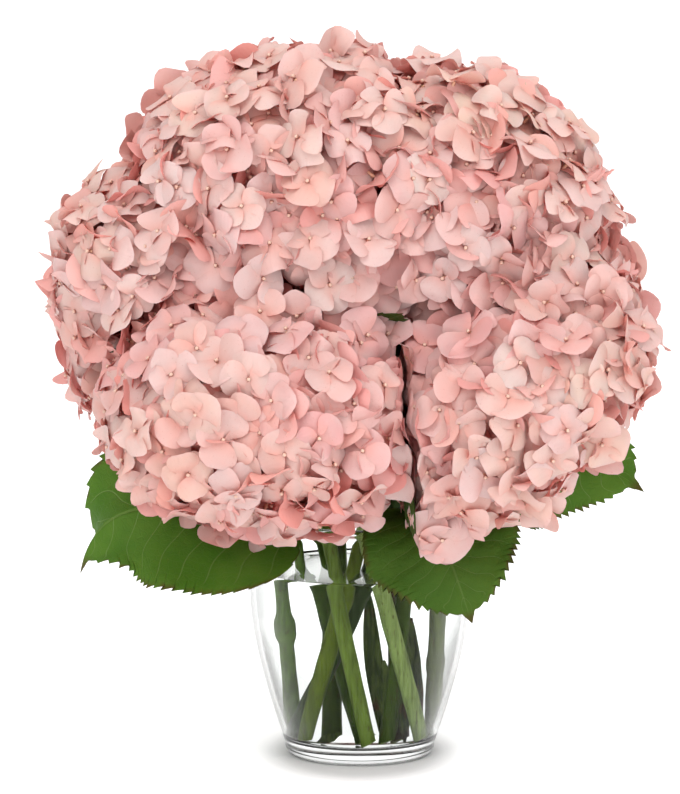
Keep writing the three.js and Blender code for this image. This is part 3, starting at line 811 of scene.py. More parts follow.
def arc(centre, radius, start, end, steps):
    """Points of a circle's arc as (radius, height), with its angles in degrees."""
    angle = np.radians(np.linspace(start, end, steps))
    return np.stack([centre[0] + radius * np.cos(angle), centre[1] + radius * np.sin(angle)], -1)


def inner_profile(low, high, steps, inset):
    """The inner wall between two heights, from a rounded corner on the floor upwards."""
    corner_height = VASE_FLOOR + INNER_CORNER
    wall_radius = vase_radius(corner_height) - VASE_WALL - inset
    corner = arc((wall_radius - INNER_CORNER, corner_height), INNER_CORNER, -90, 0, 9) + [0, low - VASE_FLOOR]
    heights = np.linspace(corner_height, high, steps)[1:]
    wall = np.stack([vase_radius(heights) - VASE_WALL - inset, heights], -1)
    return np.concatenate([corner[:-1], [[wall_radius, corner_height]], wall])


def make_vase(finish):
    """The glass: a solid foot with a shallow hollow under it, thin walls and a rounded lip."""
    lip_height = VASE_HEIGHT - LIP_RADIUS
    lip_centre = (vase_radius(lip_height) - VASE_WALL / 2, lip_height)
    under = np.array(PUNT) * [1, PUNT_HEIGHT]
    corner = arc((VASE_FOOT_RADIUS, VASE_FOOT_CORNER), VASE_FOOT_CORNER, -90, 12, 9)
    top = lip_height - LIP_RADIUS * LIP_MEET
    heights = np.linspace(WALL_START, top, WALL_STEPS)
    outside = np.stack([vase_radius(heights), heights], -1)
    lip = arc(lip_centre, LIP_RADIUS, -28, 208, 15)
    inside = inner_profile(VASE_FLOOR, top, WALL_STEPS, 0)[::-1]
    profile = np.concatenate([under, corner, outside, lip, inside, [[0, VASE_FLOOR]]])
    vertices, faces = lathe(profile, ROUND_SEGMENTS)
    place_piece(make_piece("glass_vase", vertices, faces, [finish]), "vase")


def make_water(finish):
    """The water: it fills the vase to its level and creeps up the wall a little."""
    side = inner_profile(VASE_FLOOR + WATER_LIFT, WATER_LEVEL + MENISCUS, 40, WATER_INSET)
    inward = np.array(MENISCUS_STEPS)
    creep = WATER_LEVEL + MENISCUS * np.exp(-inward / MENISCUS_RUN)
    top = np.stack([side[-1, 0] - inward, creep], -1)
    profile = np.concatenate([[[0, VASE_FLOOR + WATER_LIFT]], side, top, [[20, WATER_LEVEL], [0, WATER_LEVEL]]])
    vertices, faces = lathe(profile, ROUND_SEGMENTS)
    place_piece(make_piece("vase_water", vertices, faces, [finish]), "water")


# ---------------------------------------------------------------- stems


def stem_course(name, straight_steps=90, bend_steps=40):
    """The stem's middle line: straight from foot to neck, then the curve (1-t)^2 neck + 2t(1-t) elbow + t^2 top."""
    head = HEADS[name]
    foot = np.array([*head["foot"], STEM_FOOT_HEIGHT], float)
    neck = np.array([*head["neck"], STEM_NECK_HEIGHT], float)
    centre = np.array(head["centre"], float)
    along = unit(neck - foot)
    elbow = neck + along * np.linalg.norm(neck - centre) * ELBOW_SHARE
    if name in ELBOWS:
        elbow = np.array(ELBOWS[name], float)
    top = centre + unit(elbow - centre) * STEM_TOP_SHARE * min(head["radii"])
    t = np.linspace(0, 1, bend_steps)[1:, None]
    bend = (1 - t) ** 2 * neck + 2 * t * (1 - t) * elbow + t**2 * top
    straight = foot + np.linspace(0, 1, straight_steps)[:, None] * (neck - foot)
    return np.concatenate([straight, bend]), foot, neck


def add_husk(parcel, husk):
    """A dried sheath: a lens-shaped sheet along a straight run, width sin(pi u)^0.6, rounded like a gutter."""
    u = np.linspace(0, 1, 41)[:, None]
    v = np.linspace(-1, 1, 9)[None, :]
    start, end = np.array(husk["start"], float), np.array(husk["end"], float)
    run = unit(end - start)
    across = unit(np.cross(run, [0, -1, 0]))
    out = np.cross(across, run)
    width = husk["width"] / 2 * np.sin(math.pi * np.clip(u, 0.015, 0.985)) ** 0.6
    sway = husk["sway"] * np.sin(u * 5 + husk["width"]) * u
    middle = start + u * (end - start) + sway * across
    ripple = 0.5 * np.sin(u * 23 + v * 2)
    grid = middle[:, None] + (width * v)[..., None] * across + (width * (v**2 - 0.5) * 0.6 + ripple)[..., None] * out
    plan = SheetPlan(*grid.shape[:2])
    points = plan.points(grid, np.full(grid.shape[:2], 0.35))
    parcel.add(points, [plan.faces], 1, {"joint": 0.0, "cut": 0.0}, plan.crease)


def husk_finish():
    """Dried sheaths: red-brown and olive fibres along their length."""
    f = Finish("stem_husk")
    fibres = f.noise(1.0, 4, 0.6, f.stretched(700, 700, 30))
    colour = f.mix(fibres.between(0.35, 0.65), (0.045, 0.020, 0.008), (0.160, 0.065, 0.026))
    green = f.mix(fibres.between(0.35, 0.65), (0.040, 0.065, 0.012), (0.105, 0.150, 0.034))
    colour = f.mix(f.noise(55, 3).between(0.36, 0.48), colour, green)
    f.set(Base_Color=colour, Roughness=0.55 + fibres * 0.3, Specular_IOR_Level=0.25)
    f.set(Normal=f.bump(fibres, 0.6, 0.0008))
    return f.material


def make_stem(name, finish, husk_look):
    """A stem with swollen joints: radius (1 + sum of swellings), with an oblique cut at its foot."""
    path, foot, neck = stem_course(name)
    look = STEM_LOOKS[name]
    height = (path[:, 2] - foot[2]) / (neck[2] - foot[2])
    swelling = np.zeros(len(path))
    ring = np.zeros(len(path))
    for joint in look["joints"]:
        swelling += look["swelling"] * np.exp(-(((height - joint) / look.get("run", JOINT_RUN)) ** 4))
        ring += np.exp(-(((height - joint - 0.012) / 0.007) ** 2))
    radii = STEM_RADIUS * (look.get("girth", STEM_GIRTH) + swelling + 0.012 * np.sin(height * 37))
    vertices, faces = tube(path, radii, STEM_SIDES, (1, 0, 0), STEM_RIDGES)
    rings = vertices[:-2].reshape(len(path), STEM_SIDES, 3)
    slope = CUT_SLOPE * np.exp(-np.maximum(height, 0) / CUT_RUN)
    rings[..., 2] += slope[:, None] * (rings[..., 0] - path[:, None, 0] + STEM_RADIUS * 0.6)
    rings[..., 2] = np.maximum(rings[..., 2], VASE_FLOOR + 0.4)
    vertices[-2, 2] = rings[0, :, 2].mean()
    joint = np.concatenate([np.clip(np.repeat(ring, STEM_SIDES), 0, 1) * 0.35, [0, 0]])
    cut = np.zeros(len(vertices))
    cut[:STEM_SIDES] = 0.7
    cut[-2] = 1.0
    parcel = Parcel()
    parcel.add(vertices, faces, 0, {"joint": joint, "cut": cut})
    for husk in HUSKS.get(name, ()):
        add_husk(parcel, husk)
    place_piece(parcel.piece("stalk_" + name, [finish, husk_look]), "stem_" + name)


# ---------------------------------------------------------------- leaves

def through_points(points, steps):
    """A smooth curve through four points, by the cubic that passes each at its share of the chords' length."""
    points = np.array(points, float)
    chords = np.linalg.norm(np.diff(points, axis=0), axis=1) ** 0.5
    at = np.concatenate([[0], np.cumsum(chords)]) / chords.sum()
    fine = np.linspace(0, 1, 400)
    curve = np.stack([np.polyval(np.polyfit(at, points[:, i], 3), fine) for i in range(3)], -1)
    length = np.concatenate([[0], np.cumsum(np.linalg.norm(np.diff(curve, axis=0), axis=1))])
    wanted = np.linspace(0, length[-1], steps)
    return np.stack([np.interp(wanted, length, curve[:, i]) for i in range(3)], -1)


def blade_width(along):
    """Half width of a blade as a share: sin(pi (u/0.93)^0.75)^0.62, then a drawn-out tip of 0.13 (1 - u)/0.12."""
    body = np.sin(math.pi * np.clip(along / 0.93, 0, 1) ** 0.75).clip(0) ** 0.62
    tip = 0.13 * np.clip((1 - along) / 0.12, 0, 1) * np.clip(along / 0.2, 0, 1)
    return np.maximum(body, tip)


def blade_grid(midrib, halves, width, teeth, seed, ruffle):
    """A blade's grid: midrib point + spread direction * reach * |v|, raised between the veins and waved at the rim."""
    rows, columns = len(midrib), LEAF_COLUMNS
    u = np.linspace(0, 1, rows)[:, None]
    v = np.linspace(-1, 1, columns)[None, :]
    run = unit(np.gradient(midrib, axis=0))
    spreads = []
    for base, tip in halves:
        spread = np.array(base, float) * (1 - u) + np.array(tip, float) * u
        spreads.append(unit(spread - (spread * run).sum(-1, keepdims=True) * run))
    across = unit(spreads[1] - spreads[0])
    lift = unit(np.cross(across, run))
    notch = (u * teeth + 0.25 * np.sin(u * 19 + seed)) % 1.0
    tooth = TOOTH_DEPTH * (notch**1.5) * (1 - 0.15 * np.sin(u * 61 + seed))
    share = blade_width(u)
    reach = width * (1 + 0.02 * np.sin(u * 13 + seed)) * share
    side = np.where(v[..., None] < 0, spreads[0][:, None], spreads[1][:, None])
    size = np.abs(v)
    grid = midrib[:, None] + side * (reach * size + tooth * share * size**14)[..., None]
    grid = grid + run[:, None] * (tooth * 1.1 * size**14 * np.minimum(share * 2, 1))[..., None]
    course = u - VEIN_SLANT * size**0.85 * (1.1 - 0.35 * u) + 0.012 * np.sin(v * 9 + seed)
    quilt = 0.2 * np.cos(2 * math.pi * course * 9) * (1 - size**4) * np.minimum(size * 4, 1) * share
    arch = width * 0.09 * np.sin(math.pi * size) * share
    waves = ruffle * size**2.5 * np.sin(u * 17 + v * 2.2 + seed) * share
    grid = grid + lift[:, None] * (-quilt + arch + waves)[..., None]
    fade = np.minimum(np.minimum(u, 1 - u) * 12, 1) * np.ones_like(v)
    return grid, course, u * np.ones_like(v), v * np.ones_like(u), fade


def make_leaf(name, midrib, halves, width, teeth, seed, finish, stalk=None, ruffle=LEAF_RUFFLE):
    """A thin closed blade and, where it grows from a stem, its stalk."""
    grid, course, along, across, fade = blade_grid(midrib, halves, width, teeth, seed, ruffle)
    plan = SheetPlan(*grid.shape[:2])
    points = plan.points(grid, LEAF_THICKNESS * fade)
    parcel = Parcel()
    values = {"vein_course": course, "along": along, "across": across}
    values = {key: number.ravel()[plan.source] for key, number in values.items()}
    parcel.add(points, [plan.faces], 0, values, plan.crease)
    if stalk is not None:
        vertices, faces = stalk
        parcel.add(vertices, faces, 0, {"vein_course": 0.5, "along": 0.5, "across": 0.03})
    place_piece(parcel.piece("blade_" + name, [finish]), "leaf_" + name)


def leaf_stalk(leaf, end):
    """The leaf's stalk: the curve (1-t)^2 start + 2t(1-t) bend + t^2 end, from the side of the stem."""
    _, foot, neck = stem_course(leaf["stem"])
    root = foot + (neck - foot) * (leaf["height"] - foot[2]) / (neck[2] - foot[2])
    rise = unit(neck - foot)
    outward = end - root
    outward = unit(outward - outward.dot(rise) * rise)
    start = root + outward * (STEM_RADIUS + PETIOLE_SEAT)
    bend = start + outward * PETIOLE_RUN + np.array([0, 0, PETIOLE_LIFT])
    t = np.linspace(0, 1, 22)[:, None]
    path = (1 - t) ** 2 * start + 2 * t * (1 - t) * bend + t**2 * end
    radii = PETIOLE_RADIUS * (1 + 0.25 * np.exp(-t[:, 0] * 12) - 0.2 * t[:, 0])
    return tube(path, radii, 14, (0, 0, 1))


# ---------------------------------------------------------------- heads


def turn_about_y(points, degrees):
    """Points turned about +Y by an angle: x' = x cos a + z sin a, z' = z cos a - x sin a."""
    angle = math.radians(degrees)
    x, y, z = points[..., 0], points[..., 1], points[..., 2]
    return np.stack([x * math.cos(angle) + z * math.sin(angle), y, z * math.cos(angle) - x * math.sin(angle)], -1)


def head_surface(head, directions):
    """Place and normal on a head: d (sum |d|^n)^(-1/n) times the radii, and the gradient of that sum there."""
    radii = np.array(head["radii"], float)
    swelling = (np.abs(directions) ** HEAD_FULLNESS).sum(-1, keepdims=True) ** (-1 / HEAD_FULLNESS)
    scaled = directions * swelling
    slope = np.sign(scaled) * np.abs(scaled) ** (HEAD_FULLNESS - 1) / radii
    place = turn_about_y(scaled * radii, head["roll"]) + np.array(head["centre"], float)
    return place, unit(turn_about_y(slope, head["roll"]))


def distance_out(head, points):
    """How far points stand out from a head along its own rays: |p - c| (1 - 1/s), s the size at which it meets p."""
    offset = points - np.array(head["centre"], float)
    scaled = turn_about_y(offset, -head["roll"]) / np.array(head["radii"], float)
    size = (np.abs(scaled) ** HEAD_FULLNESS).sum(-1) ** (1 / HEAD_FULLNESS)
    return np.linalg.norm(offset, axis=-1) * (1 - 1 / np.maximum(size, 1e-6))


def bunch_distance(names, points):
    """A soft least of the heads' distances, -k log(sum exp(-d/k)), so that the bunch closes over their valleys."""
    each = np.stack([distance_out(HEADS[name], points) for name in names])
    return -VALLEY_FILL * np.log(np.exp(-each / VALLEY_FILL).sum(0))


def open_surface(name, directions):
    """The bunch's surface with its gaps closed above GAP_TOP and open below it."""
    closed, apart = (bunch_surface(name, directions, gaps) for gaps in ([], OPEN_GAPS))
    high = closed[0][:, 2] > GAP_TOP
    return tuple(np.where(high if one.ndim == 1 else high[:, None], one, two) for one, two in zip(closed, apart))


def bunch_surface(name, directions, gaps):
    """Where rays from a head's middle leave the bunch, the way out there, and whether they leave it nearby."""
    names = [other for other in HEADS if {name, other} not in gaps]
    centre = np.array(HEADS[name]["centre"], float)
    own, _ = head_surface(HEADS[name], directions)
    rays = own - centre
    steps = centre + rays[None] * RAY_SHARES[:, None, None]
    outside = bunch_distance(names, steps) > 0
    first = outside.argmax(0)
    found = outside.any(0)
    places = centre + rays * RAY_SHARES[first][:, None]
    nudge = np.eye(3) * SLOPE_STEP
    slope = [bunch_distance(names, places + nudge[i]) - bunch_distance(names, places - nudge[i]) for i in range(3)]
    return places, unit(np.stack(slope, -1)), found


def crease_places(side, spots):
    """Places in the bunch's surface straight behind (x, z) spots, and the way out there leant towards the viewer."""
    depth = side * CREASE_DEPTHS[:, None, None]
    spots = np.array(spots, float)
    points = np.stack(np.broadcast_arrays(spots[None, :, :1], depth, spots[None, :, 1:]), -1)[..., 0, :]
    first = (bunch_distance(list(HEADS), points) < CREASE_LEVEL).argmax(0)
    places = points[first, np.arange(len(spots))]
    outward = unit(places - np.array(BUNCH_MIDDLE, float))
    return places, unit(outward + np.array([0, CREASE_LEAN * side, 0]))


def dividing_plane(head, other):
    """Where two heads meet: a point and the way from one to the other, and how far apart they stand."""
    start, end = np.array(head["centre"], float), np.array(other["centre"], float)
    distance = np.linalg.norm(end - start)
    normal = (end - start) / distance
    own, theirs = (
        np.linalg.norm(turn_about_y(normal, -each["roll"]) * np.array(each["radii"], float)) for each in (head, other)
    )
    away = (distance**2 + own**2 - theirs**2) / (2 * distance)
    return start + normal * away, normal, distance - own - theirs


def neighbour_planes(name):
    """The planes between a head and those that press on it, as points and normals."""
    planes = [dividing_plane(HEADS[name], head) for other, head in HEADS.items() if other != name]
    near = [(point, normal) for point, normal, apart in planes if apart < NEIGHBOUR_REACH]
    return np.array([point for point, _ in near]), np.array([normal for _, normal in near])


def gap_planes(name):
    """The planes between a head and those that stand apart from it by an open gap."""
    others = [head for other, head in HEADS.items() if {name, other} in OPEN_GAPS]
    planes = [dividing_plane(HEADS[name], head) for head in others]
    return [point for point, _, _ in planes], [normal for _, normal, _ in planes]


def room_inside(places, planes):
    """How far each place lies on the head's own side of every plane, one column for each plane."""
    points, normals = planes
    return ((points[None] - places[:, None]) * normals[None]).sum(-1)


def press_back(vertices, planes, least=1.0, soft=7.0, sway=0.0, top=1e3):
    """Points near a plane, waved along z, are drawn back: below soft a room d becomes least + s exp((d - soft)/s)."""
    points, normals = planes
    wave = sway * (np.sin(vertices[:, 2] / 8 + 1) + 0.6 * np.sin(vertices[:, 2] / 3.3 + vertices[:, 1] / 9))
    wave = wave + 0.7 * sway * np.sin(vertices[:, 1] / 4.1 + vertices[:, 2] / 11)
    for point, normal in zip(points, normals):
        room = (point - vertices) @ normal + wave * normal[0] + np.maximum(vertices[:, 2] - top, 0) * 2
        wanted = least + (soft - least) * np.exp(np.minimum(room - soft, 0) / (soft - least))
        shift = np.where(room < soft, wanted - room, 0)
        vertices = vertices - normal * shift[:, None]
    return vertices


def spiral(count, random, jitter):
    """Directions spread evenly on a sphere along a golden spiral, each shifted a little."""
    index = np.arange(count)
    height = 1 - (2 * index + 1) / count
    turn = index * math.pi * (3 - math.sqrt(5))
    flat = np.sqrt(1 - height**2)
    directions = np.stack([np.cos(turn) * flat, np.sin(turn) * flat, height], -1)
    return unit(directions + random.normal(0, jitter, directions.shape))


def levels_apart(places, random, spacing, levels):
    """A level for each floret, unlike those of the florets next to it where that can be done."""
    count = len(places)
    apart = np.linalg.norm(places[:, None] - places[None], axis=-1) + np.eye(count) * 1e3
    level = np.full(count, -1)
    for i in random.permutation(count):
        taken = level[(apart[i] < spacing) & (level >= 0)]
        free = [k for k in range(len(levels)) if k not in taken] or list(range(len(levels)))
        level[i] = free[0] if random.random() < FIRST_LEVEL_SHARE else random.choice(free)
    return np.array(levels, float)[level]


def round_grid(size):
    """A square grid drawn out to a disc: x = s sqrt(1 - t^2/2), y = t sqrt(1 - s^2/2)."""
    s, t = np.meshgrid(np.linspace(-1, 1, size), np.linspace(-1, 1, size), indexing="ij")
    return s * np.sqrt(1 - t**2 / 2), t * np.sqrt(1 - s**2 / 2)


def petals(count, random, lifted):
    """Four sepals to each floret in its own frame: a rounded outline, broadest past its middle, cupped and waved."""
    x, y = round_grid(PETAL_GRID)
    reach = (x + 1) / 2
    rim = np.hypot(x, y)
    angle = np.arctan2(y, x)

    def draw(centre, spread):
        return random.normal(centre, spread, (count, 4, 1, 1))

    def draw_named(key):
        return draw(*PETAL_DRAWS[key])

    floret_size = random.normal(1, FLORET_SIZE_SPREAD, (count, 1, 1, 1))
    length = PETAL_LENGTH * floret_size * draw_named("length")
    width = PETAL_WIDTH * floret_size * draw_named("width")
    point = draw_named("point")
    along = length * (reach + point * np.exp(-((y / 0.35) ** 2)) * reach**2)
    side = width / 2 * y * (0.90 + 0.20 * reach)
    lift = draw(lifted, PETAL_LIFT_SPREAD) + random.normal(0, FLORET_LIFT_SPREAD, (count, 1, 1, 1))
    curl = draw_named("curl")
    camber = draw_named("camber")
    pinwheel = np.sign(random.normal(0, 1, (count, 1, 1, 1))) * draw_named("pinwheel")
    wave = draw_named("wave")
    phase = random.uniform(0, 2 * math.pi, (count, 4, 1, 1))
    rise = length * (lift * reach + curl * reach**2 * (0.5 + reach * 0.5))
    rise = rise + width * camber * (2 * y) ** 2 / 2 * reach + pinwheel * side
    rise = rise + wave * np.sin(3 * angle + phase) * rim**3 + 0.5 * np.sin(2 * angle + 2 * phase) * rim**2
    spin = random.uniform(0, 2 * math.pi, (count, 1, 1, 1))
    turn = spin + np.arange(4)[None, :, None, None] * math.pi / 2 + draw_named("turn")
    along = along + CLAW_START
    rise = rise + np.array(PETAL_STEPS)[None, :, None, None]
    grid = np.stack([along * np.cos(turn) - side * np.sin(turn), along * np.sin(turn) + side * np.cos(turn), rise], -1)
    thickness = PETAL_THICKNESS * (1 - rim**4 * 0.6) * np.ones((count, 4, 1, 1))
    return PETAL_PLAN.points(grid, thickness), reach, y * (0.4 + reach)


def frames(normals, random, tilt):
    """Axes for each floret: its own normal leant at random, and two directions square to it."""
    normals = unit(normals + random.normal(0, tilt, normals.shape))
    side = unit(np.cross(normals, np.array([0.31, 0.22, 0.93])))
    return np.stack([side, np.cross(normals, side), normals], -2)


def add_florets(parcel, places, normals, random, layer, looks):
    """Sepals and button for each floret."""
    count = len(places)
    axes = frames(normals, random, layer["lean"])
    shapes, reach, across = petals(count, random, layer["lift"])
    world = np.einsum("cpvi,cij->cpvj", shapes, axes) + places[:, None, None]
    faces, crease = PETAL_PLAN.copies(count * 4)
    source = PETAL_PLAN.source
    values = {
        "reach": np.tile(reach.ravel()[source], count * 4),
        "across": np.tile(across.ravel()[source], count * 4),
        **{key: np.repeat(number, 4 * PETAL_PLAN.count) for key, number in looks.items()},
    }
    parcel.add(world.reshape(-1, 3), [faces], 0, values, crease)

    x, y = round_grid(BUTTON_GRID)
    rim = np.hypot(x, y)
    dome = np.stack([x * BUTTON_RADIUS, y * BUTTON_RADIUS, BUTTON_LIFT + BUTTON_RISE * (1 - rim**2)], -1)
    thickness = np.where(rim < 0.99, BUTTON_THICKNESS, 0.0)
    button = BUTTON_PLAN.points(dome, thickness)
    world = np.einsum("vi,cij->cvj", button, axes) + places[:, None]
    faces, _ = BUTTON_PLAN.copies(count)
    source = BUTTON_PLAN.source
    values = {key: np.repeat(number, BUTTON_PLAN.count) for key, number in looks.items()}
    values |= {"reach": np.tile(rim.ravel()[source], count), "across": 0.0}
    parcel.add(world.reshape(-1, 3), [faces], 1, values)
    return axes


def add_stalks(parcel, places, axes, centre, looks):
    """A thin stalk from under each floret towards the middle of the head."""
    steps = len(STALK_RADII)
    start = places - axes[:, 2] * STALK_START
    end = centre + (places - centre) * STALK_END_SHARE
    bend = start - axes[:, 2] * STALK_DROP
    t = np.linspace(0, 1, steps)[:, None, None]
    path = (1 - t) ** 2 * start + 2 * t * (1 - t) * bend + t**2 * end
    angle = np.arange(STALK_SIDES) * 2 * math.pi / STALK_SIDES
    side, other = axes[:, 0], axes[:, 1]
    ring = side[:, None] * np.cos(angle)[:, None] + other[:, None] * np.sin(angle)[:, None]
    rings = path[:, :, None] + ring[None] * np.array(STALK_RADII)[:, None, None, None]
    rings = rings.transpose(1, 0, 2, 3).reshape(len(places), -1, 3)
    ends = np.stack([path[0], path[-1]], 1)
    vertices = np.concatenate([rings, ends], 1)
    step = np.arange(len(places))[:, None, None] * vertices.shape[1]
    faces = [(block[None] + step).reshape(-1, block.shape[1]) for block in ring_faces(steps, STALK_SIDES)]
    fade = np.repeat(np.linspace(*STALK_SHADES, steps), STALK_SIDES)
    fade = np.tile(np.concatenate([fade, STALK_SHADES]), len(places))
    values = {key: np.repeat(number, vertices.shape[1]) for key, number in looks.items()}
    values |= {"reach": 0.0, "across": 0.0, "depth": fade}
    parcel.add(vertices.reshape(-1, 3), faces, 2, values)


def add_core(parcel, head, planes):
    """The dense middle of a head: its own shape at a smaller size, knobbed by sin terms, closed at both poles."""
    polar = np.linspace(0, math.pi, CORE_RINGS + 2)[1:-1, None]
    round_angle = np.linspace(0, 2 * math.pi, CORE_SIDES, endpoint=False)[None]
    directions = np.stack(
        [np.sin(polar) * np.cos(round_angle), np.sin(polar) * np.sin(round_angle), np.cos(polar) + 0 * round_angle], -1
    )[::-1]
    directions = np.concatenate([directions.reshape(-1, 3), [[0, 0, -1], [0, 0, 1]]])
    place, _ = head_surface(head, directions)
    knobs = np.sin(directions[:, 0] * 23) * np.sin(directions[:, 1] * 21 + 1) * np.sin(directions[:, 2] * 19 + 2)
    centre = np.array(head["centre"], float)
    vertices = centre + (place - centre) * (CORE_SHARE + CORE_KNOBS * knobs)[:, None]
    vertices = press_back(vertices, planes, *CORE_ROOM)
    # the middle takes the full painted dark-red shade
    values = {"tone": 0.0, "warmth": 0.0, "depth": 1.0, "reach": 0.0, "across": 0.0}
    parcel.add(vertices, ring_faces(CORE_RINGS, CORE_SIDES), 2, values)


def distance_to_line(places, start, end):
    """How far places are from the straight line between two points."""
    start, end = np.array(start, float), np.array(end, float)
    share = np.clip((places - start) @ (end - start) / ((end - start) ** 2).sum(), 0, 1)
    return np.linalg.norm(places - start - share[:, None] * (end - start), axis=-1)


def keep_off_vase(vertices):
    """Points over the vase are raised to clear its lip: z is at least the lip's height + 1 within its radius."""
    distance = np.hypot(vertices[:, 0], vertices[:, 1])
    least = (VASE_HEIGHT + LIP_CLEARANCE) * (distance < VASE_BELLY_RADIUS + RIM_CLEARANCE)
    vertices[:, 2] = np.maximum(vertices[:, 2], least)
    return vertices


def grow_florets(parcel, places, facing, centre, random, layer, tone, warmth, depth):
    """Florets and their stalks, each with its share of pink, of warm beige and of the painted deep-rose shade of deep
    places.
    """
    looks = {"tone": tone, "warmth": warmth, "depth": depth}
    axes = add_florets(parcel, places, facing, random, layer, looks)
    add_stalks(parcel, places, axes, centre, looks)


def add_layer(parcel, name, layer, area, planes, random, pinkness, warmth):
    """One layer of a head's florets: spread over the bunch's surface, moved to their levels, and coloured."""
    centre = np.array(HEADS[name]["centre"], float)
    axis = unit(centre - np.array(BUNCH_MIDDLE, float))
    directions = spiral(int(area / layer["area"]), random, SPIRAL_JITTER)
    places, normals, found = open_surface(name, directions)
    room = room_inside(places, planes).min(-1)
    low = places[:, 2] < VASE_HEIGHT + FLORET_RISE
    inside_vase = np.hypot(places[:, 0], places[:, 1]) < VASE_BELLY_RADIUS + FLORET_REACH
    crevice = CAUGHT_LEAVES["left_crevice"]
    clear = distance_to_line(places, crevice["start"], crevice["end"]) > CREVICE_CLEARANCE
    keep = found & clear & (room > -layer["overlap"]) & ~(low & inside_vase)
    places, normals = places[keep], normals[keep]
    count = len(places)
    height = levels_apart(places, random, LEVEL_SPACING, layer["levels"]) + random.normal(0, layer["spread"], count)
    if name in SWELLS:
        way, amount = SWELLS[name]
        height = height + amount * np.clip((normals @ unit(np.array(way)) - SWELL_START) / SWELL_RUN, 0, 1)
    places = places + normals * height[:, None]
    facing = unit(normals + OUTWARD_LEAN * unit(places - np.array(BUNCH_MIDDLE, float)))
    middle = np.clip(normals @ axis, 0, 1) ** MIDDLE_POWER
    tone = np.clip(random.normal(pinkness - MIDDLE_PALING * middle, TONE_SPREAD, count), 0, 1)
    warm = np.clip(random.normal(warmth - SIDE_COOLING + MIDDLE_WARMING * middle, WARMTH_SPREAD, count), 0, 1)
    # painted shade: inner layers and sunken florets take more of the deep-rose shade
    sunken = np.clip((layer["levels"][0] - height) / SINK_DEPTH, 0, 1)
    depth = np.clip(random.uniform(*layer["painted_shade"], count) + SINK_PAINTED_SHADE * sunken, 0, 1)
    grow_florets(parcel, places, facing, centre, random, layer, tone, warm, depth)


def make_head(name, number, finishes, pinkness, warmth):
    """A head: florets in layers, and any set in its creases or hung below it, over a dense middle."""
    head = HEADS[name]
    random = np.random.default_rng(HEAD_SEED + number)
    planes = neighbour_planes(name)
    centre = np.array(head["centre"], float)
    radii = np.array(head["radii"], float)
    pairs = (radii * np.roll(radii, 1)) ** AREA_POWER
    area = 4 * math.pi * (pairs.mean()) ** (1 / AREA_POWER) * AREA_ALLOWANCE
    parcel = Parcel()
    for layer in LAYERS:
        add_layer(parcel, name, layer, area, planes, random, pinkness, warmth)
    if name in CREASE_FLORETS:
        places, facing = crease_places(*CREASE_FLORETS[name])
        tone, warm, depth = (random.uniform(*ends, len(places)) for ends in CREASE_DRAWS)
        grow_florets(parcel, places, facing, centre, random, LAYERS[0], tone, warm, depth)
    if name in HANGING_FLORETS:
        places = np.array([place for place, _ in HANGING_FLORETS[name]], float)
        warm = np.array([share for _, share in HANGING_FLORETS[name]], float)
        facing = unit(np.tile(HANGING_FACING, (len(places), 1)))
        depth = np.full(len(places), 0.05)
        grow_florets(parcel, places, facing, centre, random, LAYERS[0], 0.6 - 0.6 * warm, warm, depth)
    gaps = gap_planes(name)
    parcel.vertices = [keep_off_vase(press_back(part, gaps, *GAP_ROOM, GAP_TOP)) for part in parcel.vertices]
    add_core(parcel, head, planes)
    place_piece(parcel.piece("bloom_" + name, finishes), "head_" + name)


# ---------------------------------------------------------------- the whole

make_vase(glass_finish())
make_water(water_finish())

dry = husk_finish()
for name, look in STEM_LOOKS.items():
    make_stem(name, stem_finish("stalk_" + name, look["colour"]), dry)

green = leaf_finish("leaf_green", 0.0, 0.15)
shaded = leaf_finish("leaf_shaded", 0.28, 0.15)
# Leaves caught in the creases: more brown blotches, and a painted shade that darkens them
browned_and_shaded = leaf_finish("leaf_browned_and_shaded", 0.6, 0.7)
for number, (name, leaf) in enumerate(LEAVES.items()):
    midrib = through_points(leaf["midrib"], LEAF_ROWS)
    stalk = leaf_stalk(leaf, midrib[int(PETIOLE_END * (LEAF_ROWS - 1))])
    look = shaded if name in SHADED_LEAVES else green
    make_leaf(name, midrib, leaf["halves"], leaf["width"], LEAF_TEETH, number * 1.7, look, stalk)
for number, (name, leaf) in enumerate(CAUGHT_LEAVES.items()):
    point, normal, _ = dividing_plane(HEADS[leaf["between"][0]], HEADS[leaf["between"][1]])
    ends = np.array([leaf["start"], leaf["end"]], float)
    ends = ends + ((point - ends) @ normal)[:, None] * normal
    across = unit(np.cross(normal, ends[1] - ends[0]))
    midrib = ends[0] + np.linspace(0, 1, CAUGHT_LEAF_ROWS)[:, None] * (ends[1] - ends[0])
    halves = [[tuple(across), tuple(across)], [tuple(-across), tuple(-across)]]
    make_leaf(name, midrib, halves, leaf["width"], CAUGHT_LEAF_TEETH, 5 + number, browned_and_shaded, None, CAUGHT_LEAF_RUFFLE)

flower_finishes = [petal_finish(), button_finish(), stalk_finish()]
for number, (name, (pinkness, warmth)) in enumerate(HEAD_LOOKS.items()):
    make_head(name, number, flower_finishes, pinkness, warmth)

# ---------------------------------------------------------------- floor, light and camera

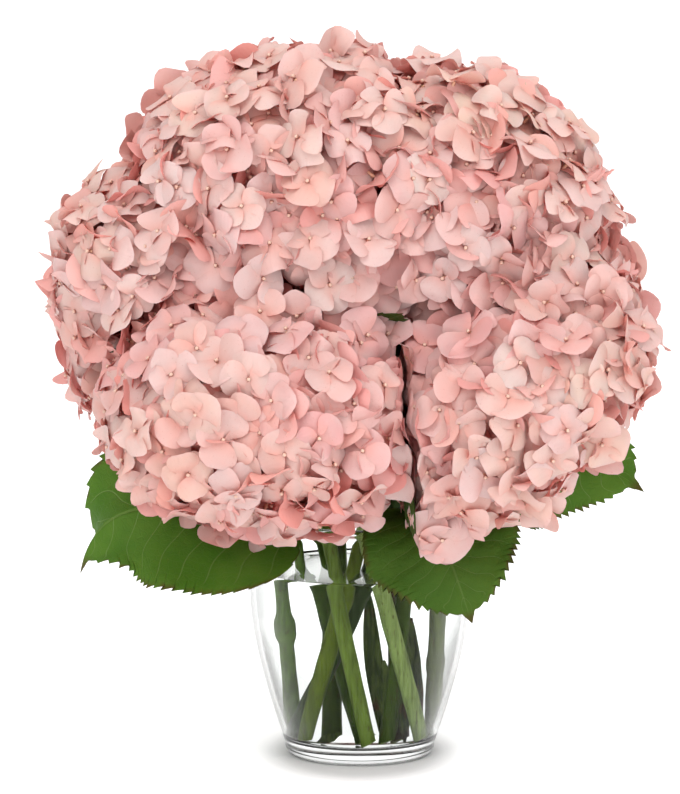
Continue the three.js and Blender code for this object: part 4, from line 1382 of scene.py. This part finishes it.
def make_floor():
    """A wide floor that dips and rises by sin terms far too small to see."""
    steps = np.linspace(-FLOOR_HALF, FLOOR_HALF, FLOOR_STEPS) * 1000
    x, y = np.meshgrid(steps, steps, indexing="ij")
    grid = np.stack([x, y, -FLOOR_DEPTH + FLOOR_RIPPLE * np.sin(x) * np.sin(y)], -1).reshape(-1, 3)
    index = np.arange(FLOOR_STEPS**2).reshape(FLOOR_STEPS, FLOOR_STEPS)
    faces = np.stack([index[:-1, :-1], index[1:, :-1], index[1:, 1:], index[:-1, 1:]], -1).reshape(-1, 4)
    floor = make_piece("studio_floor", grid, [faces], [floor_finish()])


def add_lamp(name, place, target, side, power, colour):
    """A soft box of light that faces a point."""
    lamp = bpy.data.lights.new(name, "AREA")
    lamp.shape, lamp.size, lamp.size_y = "RECTANGLE", side, side
    lamp.energy, lamp.color = power, colour
    holder = bpy.data.objects.new(name, lamp)
    holder.location = place
    holder.rotation_euler = aim_angles(np.array(target) - np.array(place))
    bpy.context.scene.collection.objects.link(holder)


def aim_angles(aim):
    """Turns about X and Z that point an object's -Z along a direction."""
    flat = math.hypot(aim[0], aim[1])
    return (math.atan2(flat, -aim[2]), 0.0, math.atan2(-aim[0], aim[1]))


def make_world():
    """White light from all round, darker strips at either side that the glass picks up at its edges."""
    world = bpy.data.worlds.new("studio")
    bpy.context.scene.world = world
    world.use_nodes = True
    tree = world.node_tree
    tree.nodes.clear()
    place = add_node(tree, "ShaderNodeTexCoord").outputs["Generated"]
    split = add_node(tree, "ShaderNodeSeparateXYZ", {}, {0: place})
    side = add_node(tree, "ShaderNodeMath", {"operation": "ABSOLUTE"}, {0: split.outputs["X"]})
    sky = add_node(tree, "ShaderNodeValToRGB", {"stops": WORLD_STOPS}, {0: side.outputs[0]})
    sockets = {"Color": sky.outputs[0], "Strength": WORLD_STRENGTH}
    background = add_node(tree, "ShaderNodeBackground", {}, sockets)
    add_node(tree, "ShaderNodeOutputWorld", {}, {0: background.outputs[0]})


make_floor()
make_world()
for name, lamp in LAMPS.items():
    add_lamp(name, **lamp)

camera = bpy.data.cameras.new("camera")
camera.lens = CAMERA_LENS
camera.sensor_fit = "AUTO"
camera.sensor_width = CAMERA_SENSOR
holder = bpy.data.objects.new("camera", camera)
holder.location = CAMERA_PLACE
holder.rotation_euler = aim_angles(np.array(CAMERA_TARGET) - np.array(CAMERA_PLACE))
bpy.context.scene.collection.objects.link(holder)
bpy.context.scene.camera = holder
bpy.context.scene.view_settings.view_transform = "Standard"
